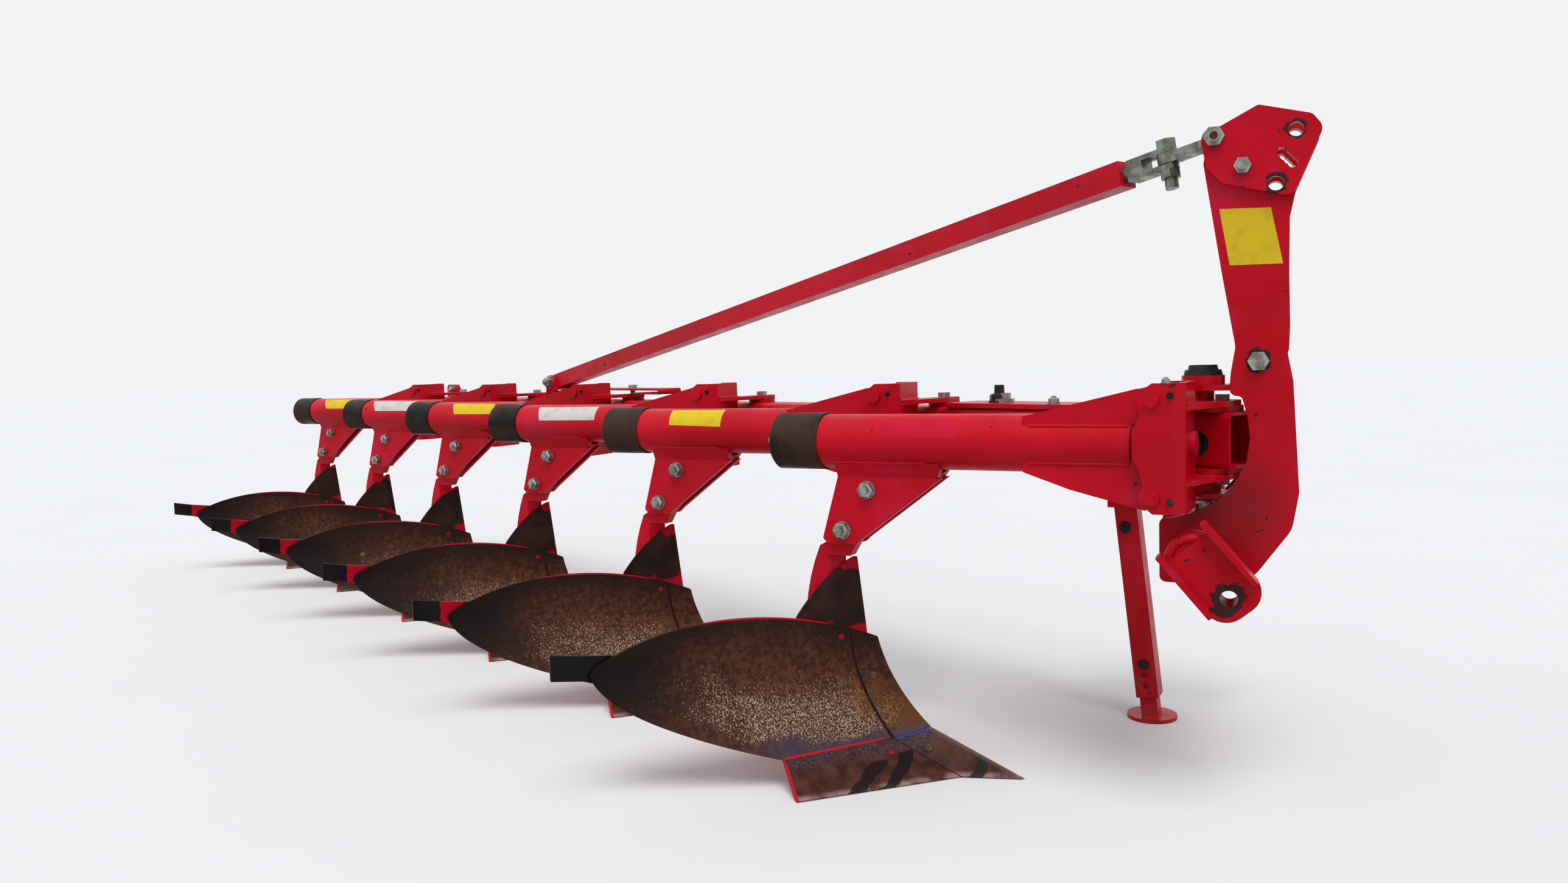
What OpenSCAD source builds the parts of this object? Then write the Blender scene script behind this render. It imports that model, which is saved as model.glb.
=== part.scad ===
// A six-furrow mounted mouldboard plough with spring-reset bodies, parked on its shares and its stand.
// X points the way the plough travels, Y to its left and Z up. The ground is the plane Z = 0.

/* [Body row] */
// Number of plough bodies
body_count = 6; // [6]
// Distance from one body to the next along the travel direction
body_pitch = 780; // [740:5:860]
// Sideways step from one body to the next, which is the furrow width
body_step = 330; // [310:5:360]
// Height of the arm tubes' axis above the ground
tube_height = 810; // [790:5:840]

/* [Arm tube] */
// Outer diameter of the arm tube
tube_d = 133; // [120:1:140]
// Wall of the arm tube
tube_wall = 8; // [5:0.5:12]
// Length of the arm tube ahead of the upper shank bolt
tube_front = 622; // [600:1:630]
// Length of the arm tube behind the upper shank bolt
tube_rear = 252; // [235:1:256]
// Wall of the rubber sleeve over the tube's rear end
sleeve_wall = 4.5; // [3:0.5:6]
// Length of the tube that the rubber sleeve covers
sleeve_cover = 125; // [110:1:140]

/* [Hinge] */
// Distance of the hinge pins ahead of the upper shank bolt
hinge_ahead = 672; // [665:1:685]
// Height of the upper hinge pin above the tube's axis
hinge_up = 99; // [95:1:105]
// Depth of the lower hinge pin below the tube's axis
hinge_down = 108; // [100:1:112]
// Diameter of the hinge pins
pin_d = 33; // [28:1:36]
// Clearance between a hinge pin and the arm's seat, on the radius
pin_clearance = 0.4; // [0.2:0.1:1]
// Overall width of the hinge bracket across its side walls
bracket_width = 168; // [162:1:174]
// Wall of the hinge bracket
bracket_wall = 14; // [10:1:16]
// How far each hinge pin stands out of the bracket's side walls
pin_proud = 9; // [4:1:14]
// Height of the bracket above the upper hinge pin
bracket_top = 34; // [30:1:40]
// Depth of the bracket below the lower hinge pin
bracket_bottom = 35; // [30:1:40]

/* [Main beam] */
// Width of the main beam
beam_width = 124; // [100:2:130]
// Height of the main beam
beam_height = 124; // [100:2:130]
// Wall of the main beam
beam_wall = 8; // [5:1:12]
// Radius of the main beam's corners
beam_radius = 16; // [12:1:24]
// Length of the main beam behind the last bracket's pivot
beam_tail = 196; // [150:2:260]
// Length of the main beam ahead of the first bracket's pivot
beam_nose = 51; // [46:1:52]
// Thickness of the pads and plates on the beam, under the clamping plates
pad_t = 12; // [8:1:14]
// Thickness of the brackets' clamping plates
clamp_plate = 12; // [8:1:14]
// Diameter of the brackets' pivot bolts
pivot_d = 20; // [16:1:24]
// Length of the front plates on the beam, behind the first pivot
nose_plate_length = 783; // [700:1:800]

/* [Headstock] */
// Angle that the headstock is swung to the left about its hub pin, in degrees
head_swing = 6.3; // [5:0.1:7]
// Thickness of the headstock's cheek plates
cheek_plate = 16; // [12:1:18]
// Thickness of the mast plates
mast_plate = 16; // [12:1:18]
// Gap between the two mast plates
mast_gap = 64; // [60:1:70]
// Diameter of the two upper hitch holes
top_bore_d = 32.4; // [32:0.1:33]
// Diameter of the two lower hitch holes
lower_bore_d = 37.4; // [37:0.1:38]
// Distance between the webs of the two lower hitch arms
hitch_spread = 824; // [780:2:900]
// Sideways shift of the cross shaft from the middle of the headstock
shaft_shift = 230; // [225:1:240]
// Diameter of the cross shaft that carries the hitch arms
shaft_d = 90; // [80:1:100]
// Angle of the hitch arms below level, in degrees
arm_drop = 50; // [40:1:56]
// Thickness of the hitch arms' webs
arm_web = 16; // [12:1:20]
// Diameter of the pin that the headstock swings on
hub_pin_d = 48; // [40:1:50]

/* [Stay] */
// Width and height of the square stay tube
stay_tube = 60; // [50:1:66]
// Wall of the stay tube
stay_wall = 6; // [4:1:8]
// Diameter of the stay's lower bolt
stay_bolt_d = 24; // [20:1:26]
// Diameter of the upright bolt in the stay's fork
fork_bolt_d = 30; // [24:1:32]

/* [Stand] */
// Width of the square stand sleeve
stand_sleeve_w = 60; // [56:1:70]
// Wall of the stand sleeve
stand_wall = 6; // [4:0.5:7]
// Clearance around the stand's leg inside its sleeve
stand_clearance = 1.5; // [1:0.5:3]
// Lean of the stand from upright, in degrees
stand_lean = 6; // [0:0.5:10]
// Radius of the stand's foot plate
foot_r = 66; // [50:1:90]
// Thickness of the stand's foot plate
foot_plate = 10; // [6:1:16]
// Diameter of the stand's locking pin
stand_pin_d = 16; // [12:1:18]

/* [Shank and share] */
// Thickness of the shank
shank_t = 34; // [28:1:40]
// Thickness of each leg plate beside the shank
leg_plate = 14; // [10:1:18]
// Diameter of the two shank bolts
shank_bolt_d = 22; // [18:1:24]
// Thickness of the mouldboard
board_t = 9; // [7:0.5:12]
// Depth of the mouldboard's hollow
board_sag = 36; // [20:1:45]
// Thickness of the share
share_t = 10; // [8:0.5:14]
// Thickness of the landside
landside_t = 12; // [8:1:14]
// Height of the landside
landside_h = 110; // [90:1:120]
// Thickness of the trash board
shield_t = 8; // [6:0.5:10]
// Height of the tail bar
bar_h = 60; // [45:1:70]
// Thickness of the tail bar
bar_t = 10; // [8:1:14]

/* [Hidden] */
body_names = ["arm", "sleeve", "shank", "board", "share", "shield"];

$fn = 48;
// Gap between faces that meet
face_gap = 0.3;
// How far a cut runs past the face it starts from
over = 1;

// Colours of the paint, the soil-worn steel, the rubber and the galvanized parts
red = "#c4162b";
steel = "#7a4a33";
dark = "#2b2422";
zinc = "#b9b9b4";

// Layout: the beam's centre line passes each bracket's pivot
step = [-body_pitch, body_step];
beam_heading = atan2(step[1], step[0]);
beam_run = norm(step);
pivot = [hinge_ahead + 109, 150];
hub_back = 47;
hub = hub_back * unit(step);
swing = [[cos(head_swing), -sin(head_swing)], [sin(head_swing), cos(head_swing)]];
ground = -tube_height;

function lerp(a, b, t) = a + (b - a) * t;
function bez2(a, b, c, t) = lerp(lerp(a, b, t), lerp(b, c, t), t);
function bez3(a, b, c, d, t) = lerp(bez2(a, b, c, t), bez2(b, c, d, t), t);
function unit(v) = v / norm(v);
function head_turn(p) = hub + swing * (p - hub);
function steps(n) = [for (i = [0:n]) i / n];
function short_turn(a) = a > 180 ? a - 360 : a < -180 ? a + 360 : a;

// One corner b of an outline, between a and c, rounded with a radius
function corner(a, b, c, r) =
    let (u = unit(a - b), v = unit(c - b), half = acos(u * v) / 2,
        mid = b + unit(u + v) * r / sin(half),
        from = b + u * r / tan(half) - mid, to = b + v * r / tan(half) - mid,
        start = atan2(from[1], from[0]), turn = short_turn(atan2(to[1], to[0]) - start))
    [for (t = steps(6)) mid + r * [cos(start + turn * t), sin(start + turn * t)]];

// An outline of [x, y, radius] points with its corners rounded
function rounded(p) =
    let (n = len(p), flat = [for (q = p) [q[0], q[1]]])
    [for (i = [0:n - 1])
        each p[i][2] == 0 ? [flat[i]]
            : corner(flat[(i + n - 1) % n], flat[i], flat[(i + 1) % n], p[i][2])];

// Places a child where body k hangs, with the tube's axis at Z = 0
module at_body(k) {
    translate([(k - 1) * step[0], (k - 1) * step[1], tube_height]) children();
}

// Places a child under body k, with Z = 0 on the ground
module under_body(k) {
    translate([(k - 1) * step[0], (k - 1) * step[1], 0]) children();
}

// Places a child on the beam's centre line, X pointing rearward along the beam from the first pivot
module at_beam(along = 0) {
    translate([pivot[0], pivot[1], tube_height]) rotate([0, 0, beam_heading])
        translate([along, 0, 0]) children();
}

// Places a child in the headstock, which is swung about its hub and whose middle plane is Y = 0
module at_head() {
    translate([pivot[0] + hub[0], pivot[1] + hub[1], tube_height]) rotate([0, 0, head_swing])
        translate([-hub[0], -hub[1], 0]) children();
}

// A plate in the XZ plane between two Y values, from an outline
module side_plate(y0, y1) {
    translate([0, y1, 0]) rotate([90, 0, 0]) linear_extrude(y1 - y0) children();
}

// A pair of plates, one on each side of Y = 0, from the inner face outward
module plate_pair(inner, thick) {
    side_plate(inner, inner + thick) children();
    side_plate(-inner - thick, -inner) children();
}

// A round bar along Y
module y_bar(x, z, r, y0, y1) {
    translate([x, y1, z]) rotate([90, 0, 0]) cylinder(r = r, h = y1 - y0);
}

// A round bar along X
module x_bar(y, z, r, x0, x1) {
    translate([x0, y, z]) rotate([0, 90, 0]) cylinder(r = r, h = x1 - x0);
}

// Hexagonal head or nut standing on Z = 0
module hex(width, h) {
    cylinder(r = width / sqrt(3), h = h, $fn = 6);
}

// A bolt along Y with a hexagon at both ends, clamping between two Y values
module y_bolt(x, z, d, y0, y1) {
    y_bar(x, z, d / 2, y0 - 0.9 * d, y1 + 0.9 * d);
    translate([x, y0, z]) rotate([90, 0, 0]) hex(1.6 * d, 0.65 * d);
    translate([x, y1, z]) rotate([-90, 0, 0]) hex(1.6 * d, 0.65 * d);
}

module rounded_square(w, h, r) {
    polygon(rounded([[w / 2, h / 2, r], [-w / 2, h / 2, r], [-w / 2, -h / 2, r], [w / 2, -h / 2, r]]));
}

// A square tube along X with its walls open at both ends
module square_tube(x0, x1, w, wall) {
    translate([x0, 0, 0]) rotate([90, 0, 90]) linear_extrude(x1 - x0) difference() {
        square(w, center = true);
        square(w - 2 * wall, center = true);
    }
}

// The main beam, its pads and its front plates
hub_hole_r = hub_pin_d / 2 + face_gap;
pivot_hole_r = pivot_d / 2 + face_gap;
pad_r = 44;
clamp_z = beam_height / 2 + pad_t + face_gap;
plate_over = 6;

module beam_holes(h) {
    translate([0, 0, -h]) cylinder(r = pivot_hole_r, h = 2 * h);
    translate([hub_back, 0, -h]) cylinder(r = hub_hole_r, h = 2 * h);
}

module main_beam() {
    end = (body_count - 1) * beam_run + beam_tail;
    color(red) at_beam() difference() {
        union() {
            translate([-beam_nose, 0, 0]) rotate([90, 0, 90]) linear_extrude(end + beam_nose) difference() {
                rounded_square(beam_width, beam_height, beam_radius);
                rounded_square(beam_width - 2 * beam_wall, beam_height - 2 * beam_wall,
                    beam_radius - beam_wall);
            }
            translate([end - beam_wall, 0, 0]) rotate([90, 0, 90]) linear_extrude(beam_wall)
                rounded_square(beam_width, beam_height, beam_radius);
            for (k = [1:body_count - 1], s = [-1, 1]) translate([k * beam_run, 0, 0])
                mirror([0, 0, s > 0 ? 0 : 1]) translate([0, 0, beam_height / 2 - over])
                    cylinder(r = pad_r, h = pad_t + over);
        }
        beam_holes(beam_height);
        for (k = [1:body_count - 1]) translate([k * beam_run, 0, -beam_height])
            cylinder(r = pivot_hole_r, h = 2 * beam_height);
    }
}

module nose_plates() {
    half = beam_width / 2 + plate_over;
    color(red) at_beam() difference() {
        for (z = [beam_height / 2, -beam_height / 2 - pad_t]) translate([0, 0, z]) linear_extrude(pad_t)
            polygon(rounded([[18 - beam_nose, -half, 50], [18 - beam_nose, half, 50],
                [nose_plate_length, half, 6], [nose_plate_length, -half, 6]]));
        beam_holes(beam_height);
        translate([beam_run, 0, -beam_height]) cylinder(r = pad_r + face_gap, h = 2 * beam_height);
    }
}

// The lugs on the beam: the stay's foot with its base strip, and the lug behind the last bracket
stay_foot = [3166, 136];
strip_start = 2269;
strip_half = 50;
strip_t = 7;
strip_h = 22;
strip_bolt = 3;
ear_in = stay_tube / 2 + face_gap;
ear_t = 12;

module strip_outline() {
    low = clamp_z + clamp_plate + face_gap;
    high = low + strip_h;
    back = stay_foot[0] - 34;
    difference() {
        polygon(rounded([[strip_start, low, 10], [strip_start, high, 10], [back, high, 0],
            [back, high - strip_t, 0], [strip_start + 170, high - strip_t, 0], [strip_start + 170, low, 0]]));
        polygon(rounded([[strip_start + strip_t, low + strip_t, 3], [strip_start + strip_t, high - strip_t, 3],
            [strip_start + 180, high - strip_t, 0], [strip_start + 180, low + strip_t, 0]]));
    }
}

module ear_outline() {
    polygon(rounded([[stay_foot[0] - 46, beam_height / 2, 0], [stay_foot[0] + 54, beam_height / 2, 0],
        [stay_foot[0] + 34, stay_foot[1] + 30, 30], [stay_foot[0] - 34, stay_foot[1] + 30, 30]]));
}

rear_lug = [4288, 4500];
rear_lug_hole = [4343, 97];

module beam_lugs() {
    color(red) at_beam() {
        difference() {
            union() {
                side_plate(-strip_half, strip_half) strip_outline();
                plate_pair(ear_in, ear_t) ear_outline();
                translate([stay_foot[0] - 40, -ear_in - over, beam_height / 2])
                    cube([80, 2 * ear_in + 2 * over, 34]);
            }
            translate([strip_bolt * beam_run, 0, 0]) cylinder(r = pivot_hole_r, h = 2 * beam_height);
            y_bar(stay_foot[0], stay_foot[1], stay_bolt_d / 2 + face_gap, -beam_width, beam_width);
        }
        difference() {
            side_plate(-8, 6) polygon(rounded([[rear_lug[0], beam_height / 2, 0],
                [rear_lug[0], beam_height / 2 + 62, 22], [rear_lug[1] - 70, beam_height / 2 + 62, 22],
                [min(rear_lug[1], (body_count - 1) * beam_run + beam_tail), beam_height / 2, 0]]));
            for (dx = [0, 70]) y_bar(rear_lug_hole[0] + dx, rear_lug_hole[1], 11, -20, 20);
        }
    }
    color(zinc) at_beam()
        y_bolt(stay_foot[0], stay_foot[1], stay_bolt_d, -ear_in - ear_t, ear_in + ear_t);
}

// The bolts that stand upright in the beam and its plates
lock_bolt = [625, 30];
pivot_nut = 16;

module pivot_bolts() {
    reach = clamp_z + clamp_plate;
    color(zinc) at_beam() for (k = [0:body_count - 1]) translate([k * beam_run, 0, 0]) {
        lift = k == strip_bolt ? strip_h + face_gap : 0;
        translate([0, 0, -reach - pivot_nut]) cylinder(d = pivot_d, h = 2 * reach + pivot_nut + lift);
        translate([0, 0, reach + lift]) hex(1.5 * pivot_d, 13);
        translate([0, 0, -reach - pivot_nut]) hex(1.5 * pivot_d, pivot_nut);
    }
    color(dark) at_beam() translate([lock_bolt[0], 0, beam_height / 2 + pad_t]) {
        hex(46, 10);
        translate([0, 0, 9]) cylinder(d = lock_bolt[1], h = 16);
    }
}

// The hinge bracket of one body: a channel open to the rear, with clamping plates to the beam
ear_r = 28;
fold = 22;
fold_x = hinge_ahead + 43;
web_x = fold_x + fold;
wall_in = bracket_width / 2 - bracket_wall;
boss_r = 28;

module bracket_wall_outline() {
    difference() {
        union() {
            translate([hinge_ahead, hinge_up]) circle(ear_r);
            translate([hinge_ahead, -hinge_down]) circle(ear_r);
            polygon([[hinge_ahead - 41, 31], [hinge_ahead - 26, 63], [hinge_ahead - 29, hinge_up - 6],
                [hinge_ahead - 23, hinge_up + 17], [hinge_ahead, hinge_up + bracket_top],
                [fold_x, hinge_up + bracket_top],
                [fold_x, -hinge_down - bracket_bottom], [hinge_ahead, -hinge_down - bracket_bottom],
                [hinge_ahead - 15, -hinge_down - 22], [hinge_ahead - 23, -hinge_down],
                [hinge_ahead - 20, -81], [hinge_ahead - 27, -47], [hinge_ahead - 41, -27]]);
        }
        translate([hinge_ahead, hinge_up]) circle(pin_d / 2);
        translate([hinge_ahead, -hinge_down]) circle(pin_d / 2);
    }
}

// The channel's front from above, folded at its corners
module web_outline() {
    wide = bracket_width / 2;
    inner = web_x - bracket_wall;
    polygon([[fold_x - over, -wide], [fold_x, -wide], [web_x, fold - wide], [web_x, wide - fold],
        [fold_x, wide], [fold_x - over, wide], [fold_x - over, wall_in], [inner, wall_in - fold],
        [inner, fold - wall_in], [fold_x - over, -wall_in]]);
}

module clamp_outline() {
    back = web_x - over;
    half = bracket_width / 2 - fold;
    polygon(rounded([[back, -half, 0], [pivot[0] + 27, pivot[1] - 36, 16],
        [pivot[0] + 38, pivot[1] + 30, 16], [pivot[0] - 4, pivot[1] + 58, 20], [fold_x, wall_in + 20, 0],
        [fold_x, wall_in - 2, 0], [back, half, 0]]));
}

module bracket(k) {
    color(red) at_body(k) difference() {
        union() {
            plate_pair(wall_in, bracket_wall) bracket_wall_outline();
            translate([0, 0, -hinge_down - bracket_bottom])
                linear_extrude(hinge_up + hinge_down + bracket_top + bracket_bottom) web_outline();
            x_bar(0, 0, boss_r, web_x - over, web_x + 12);
            for (z = [clamp_z, -clamp_z - clamp_plate])
                translate([0, 0, z]) linear_extrude(clamp_plate) clamp_outline();
        }
        translate([pivot[0], pivot[1], -beam_height]) cylinder(r = pivot_hole_r, h = 2 * beam_height);
        if (k == 1) translate([pivot[0], pivot[1], 0]) rotate([0, 0, beam_heading])
            translate([hub_back, 0, -beam_height]) cylinder(r = hub_hole_r, h = 2 * beam_height);
    }
}

module hinge_pins() {
    reach = bracket_width / 2 + pin_proud;
    color(red) for (k = [1:body_count]) at_body(k) {
        y_bar(hinge_ahead, hinge_up, pin_d / 2, -reach, reach);
        y_bar(hinge_ahead, -hinge_down, pin_d / 2, -reach, reach);
    }
}

// The spring arm: its tube, its head with the two seats, and its leg plates
fin_start = 385;
head_half = 52;
head_t = 14;
arm_face = hinge_ahead - 8;
seat_r = pin_d / 2 + pin_clearance;

module arm_head_outline() {
    difference() {
        polygon([[fin_start, tube_d / 2 - 4], [hinge_ahead - 38, hinge_up + 22],
            [hinge_ahead, hinge_up + 24], [hinge_ahead, hinge_up],
            [arm_face, hinge_up - 24], [arm_face, -hinge_down + 24],
            [hinge_ahead, -hinge_down], [hinge_ahead, -hinge_down - 24],
            [hinge_ahead - 22, -hinge_down - 32], [fin_start + 104, -99], [fin_start, 4 - tube_d / 2]]);
        for (z = [hinge_up, -hinge_down]) translate([hinge_ahead, z]) {
            circle(seat_r);
            translate([0, -seat_r]) square([40, 2 * seat_r]);
        }
    }
}

fold_z = -85;
weld_z = -48;
leg_out = shank_t / 2 + leg_plate;
bolt_up = [-9, -116];
bolt_low = [-78, -218];
saddle_x = [-88, 182];

module leg_outline() {
    polygon(rounded([[saddle_x[0], fold_z, 0], [saddle_x[1], fold_z, 0], [-28, -240, 40], [-42, -253, 8],
        [-121, -253, 8], [-134, -241, 8]]));
}

// The folded saddle that spreads from the leg plates up to the tube
module saddle() {
    side = leg_out + 18;
    difference() {
        translate([saddle_x[0], 0, 0]) rotate([90, 0, 90]) linear_extrude(saddle_x[1] - saddle_x[0])
            polygon([[-leg_out, fold_z], [-side, weld_z], [-30, weld_z], [-shank_t / 2, fold_z + 12],
                [shank_t / 2, fold_z + 12], [30, weld_z], [side, weld_z], [leg_out, fold_z]]);
        translate([saddle_x[1] - 12, -side - over, fold_z - over]) rotate([0, 30, 0])
            cube([60, 2 * (side + over), 80]);
    }
}

module arm(k) {
    color(red) at_body(k) {
        difference() {
            union() {
                x_bar(0, 0, tube_d / 2, -tube_rear, tube_front);
                plate_pair(head_half - head_t, head_t) arm_head_outline();
                plate_pair(shank_t / 2 + face_gap, leg_plate - face_gap) leg_outline();
                saddle();
            }
            x_bar(0, 0, tube_d / 2 - tube_wall, -tube_rear + 10, tube_front - 12);
            x_bar(0, 0, 16, tube_front - 20, tube_front + over);
            for (b = [bolt_up, bolt_low]) y_bar(b[0], b[1], shank_bolt_d / 2 + face_gap, -tube_d, tube_d);
        }
        translate([-tube_rear, 0, 0]) rotate([0, -90, 0]) {
            cylinder(r = 12, h = 26);
            hex(36, 22);
        }
        for (b = [bolt_up, bolt_low]) y_bolt(b[0], b[1], shank_bolt_d, -leg_out, leg_out);
    }
}

module sleeve(k) {
    inner = tube_d / 2 + face_gap;
    outer = tube_d / 2 + sleeve_wall;
    color(dark) at_body(k) translate([-tube_rear + sleeve_cover, 0, 0]) rotate([0, -90, 0]) rotate_extrude()
        polygon([[inner, 0], [outer - 2, 0], [outer, 2], [outer, sleeve_cover + 2],
            [outer - 8, sleeve_cover + 10], [24, sleeve_cover + 10], [24, sleeve_cover + face_gap],
            [inner, sleeve_cover + face_gap]]);
}

// The trash board's upright plane, which the shank's front is cut to
shield_foot = [-59, 51];
shield_heading = 224;
shield_top = tube_height - 294;

module at_shield() {
    translate([shield_foot[0], shield_foot[1], 0]) rotate([0, 0, shield_heading]) rotate([90, 0, 0])
        children();
}

land_y = 40;
shank_bottom = 70;

// Where the board passes a place along Y at a height, found by halving
function board_u(y, z, low = 0, high = 0.6, tries = 14) =
    let (mid = (low + high) / 2)
    tries == 0 ? mid
        : board_level(mid, z)[1] > y ? board_u(y, z, mid, high, tries - 1) : board_u(y, z, low, mid, tries - 1);
function board_back(y, z) = let (u = board_u(y, z)) board_level(u, z)[0] + back_way(u)[0] * board_t;

// The shank's front follows the board's back, and runs up from there to the leg plates
module shank_outline() {
    seat = [for (z = [shank_bottom + 30:20:285]) [board_back(-shank_t / 2, z) - 7, ground + z]];
    top = seat[len(seat) - 1];
    front = [for (t = steps(8)) bez3([-50, -256], [-104, -340], top + [-16, 70], top, t)];
    back = [for (t = steps(12))
        bez3([-130, ground + shank_bottom], [-205, ground + 210], [-220, -420], [-150, -262], t)];
    polygon(concat([[-60, fold_z - face_gap], [90, fold_z - face_gap], [30, -180]], front,
        [for (i = [len(seat) - 2:-1:0]) seat[i]], [seat[0] - [10, 30]], back, [[-110, -240]]));
}

// Where a level rib meets the board's back, on its fuller side
rib_t = 10;
rib_gap = 0.8;
function rib_point(u, z) =
    let (low = board_level(u, z - rib_t / 2), high = board_level(u, z + rib_t / 2))
    (low * sheet_back > high * sheet_back ? low : high) + back_way(u) * (board_t + rib_gap);

// A level rib that carries the board from the shank
module rib(z, last, shank_back) {
    curve = [for (u = concat(shin_us, board_us)) if (u < last) rib_point(u, z)];
    translate([0, 0, z - rib_t / 2]) linear_extrude(rib_t)
        polygon(concat([for (p = curve) [p[0], p[1]]],
            [[shank_back, 0], [shank_back, shank_t / 2], [curve[0][0] - 30, land_y]]));
}

module shank(k) {
    heel = -430;
    color(red) {
        at_body(k) difference() {
            side_plate(-shank_t / 2, shank_t / 2) shank_outline();
            for (b = [bolt_up, bolt_low]) y_bar(b[0], b[1], shank_bolt_d / 2 + face_gap, -tube_d, tube_d);
            translate([0, 0, ground]) at_shield() translate([-40, shield_top - 226, -80])
                cube([260, 235, 80 + face_gap]);
        }
        under_body(k) {
            rib(130, 0.5, -125);
            rib(250, 0.5, -190);
            side_plate(shank_t / 2, land_y - landside_t)
                polygon([[-130, shank_bottom + 20], [-60, 150], [-20, shank_bottom + 20],
                    [-20, shank_bottom - 50], [-130, shank_bottom - 50]]);
            side_plate(land_y - landside_t, land_y) polygon([[heel, 4], [heel + 40, 0],
                [230, 0], [100, 70], [40, landside_h - 26], [-20, landside_h], [heel, landside_h - 20]]);
        }
    }
}

// The mouldboard: a hollow sheet between an upper and a lower edge that meet at its tail.
// It starts at the shin, which stands in the landside's plane, and Z is measured from the ground.
shin_low = [117, land_y, 99];
shin_mid = [9, land_y, 194];
shin_top = [-22, land_y, 314];
joint_low = [31, -4, 73];
wing_top = [-147, -245, 69];
tail = [-508, -502, 308];
joint_u = 0.1;
wing_u = 0.4;
sheet_back = [-0.8, 0.6, 0];

function top_edge(u) = bez3(shin_top, [-210, -96, 410], [-410, -320, 418], tail, u);
function low_edge(u) =
    u < joint_u ? lerp(shin_low, joint_low, u / joint_u)
    : u < wing_u ? lerp(joint_low, wing_top, (u - joint_u) / (wing_u - joint_u))
    : bez3(wing_top, [-300, -350, 118], [-500, -497, 210], tail, (u - wing_u) / (1 - wing_u));
function shin_curve(w) = bez2(shin_low, shin_mid, shin_top, w) - lerp(shin_low, shin_top, w);
function board_point(u, w) = lerp(low_edge(u), top_edge(u), w) + shin_curve(w) * pow(1 - u, 3)
    + sheet_back * board_sag * sin(180 * pow(u, 0.6)) * 4 * w * (1 - w);
// Which way the board's thickness runs: straight back at the shin, and square to the board behind it
function back_way(u) = u < joint_u ? unit(lerp([-1, 0, 0], sheet_back, u / joint_u)) : sheet_back;
// The board's point at a height
function board_level(u, z) = board_point(u, (z - low_edge(u)[2]) / (top_edge(u)[2] - low_edge(u)[2]));

tail_u = 0.985;
shin_us = [0, joint_u / 2, joint_u - 0.0004];
board_us = concat([for (t = steps(5)) lerp(joint_u, wing_u, t)],
    [for (i = [1:10]) lerp(wing_u, tail_u, i / 10)]);
board_ws = steps(7);

// A sheet between two grids of points
module sheet(grid, back_grid) {
    rings = len(grid) - 1;
    rows = len(grid[0]) - 1;
    n = len(grid) * len(grid[0]);
    row = rows + 1;
    cells = [for (i = [0:rings - 1], j = [0:rows - 1]) i * row + j];
    bottom = [for (i = [0:rings - 1]) i * row];
    start = [for (j = [0:rows - 1]) j];
    last = rings * row;
    polyhedron(
        points = [for (g = [grid, back_grid], ring = g, p = ring) p],
        faces = concat(
            [for (c = cells) [c, c + row, c + 1]],
            [for (c = cells) [c + row, c + row + 1, c + 1]],
            [for (c = cells) [n + c, n + c + 1, n + c + row]],
            [for (c = cells) [n + c + row, n + c + 1, n + c + row + 1]],
            [for (c = bottom) [c, n + c + row, c + row]],
            [for (c = bottom) [c, n + c, n + c + row]],
            [for (c = bottom) [c + rows, c + row + rows, n + c + row + rows]],
            [for (c = bottom) [c + rows, n + c + row + rows, n + c + rows]],
            [for (c = start) [c, n + c + 1, n + c]],
            [for (c = start) [c, c + 1, n + c + 1]],
            [for (c = start) [last + c, n + last + c, n + last + c + 1]],
            [for (c = start) [last + c, n + last + c + 1, last + c + 1]]));
}

// The tail bar, bent to the board's back and running on past the tail
bar_end = [-540, -600, 0];
bar_gap = 0.6;
function bar_mid(y) = 313 - (y + 490) * 0.23;
function bar_row(p) = [for (t = steps(3)) [p[0], p[1], bar_mid(p[1]) + (t - 0.5) * bar_h]];
function bar_ring(u) = let (mid = bar_mid(board_point(u, 0.5)[1]))
    [for (t = steps(3)) board_level(u, mid + (t - 0.5) * bar_h)];
function bar_grid(depth) = [for (ring = concat([for (u = [0.76:0.06:0.95]) bar_ring(u)],
        [bar_row(tail), bar_row(bar_end - sheet_back * (board_t + bar_gap))]))
    [for (p = ring) p + sheet_back * depth]];
function board_grid(us, depth) = [for (u = us) [for (w = board_ws) board_point(u, w) + back_way(u) * depth]];

module board(k) {
    color(steel) under_body(k) {
        for (us = [shin_us, board_us]) sheet(board_grid(us, 0), board_grid(us, board_t));
        sheet(bar_grid(board_t + bar_gap), bar_grid(board_t + bar_gap + bar_t));
    }
}

// The share: its wing and its point, whose upper edges meet the board's lower edge
wing_low = [-79, -310];
point_wing = [208, -9];
point_tip = [354, land_y];
edge_blunt = 3;

// A plate over four corners with its own back corners
module wedge_plate(front, back) {
    polyhedron(points = concat(front, back),
        faces = [[0, 2, 1], [0, 3, 2], [4, 5, 6], [4, 6, 7],
            [0, 1, 5], [0, 5, 4], [1, 2, 6], [1, 6, 5], [2, 3, 7], [2, 7, 6], [3, 0, 4], [3, 4, 7]]);
}

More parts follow.
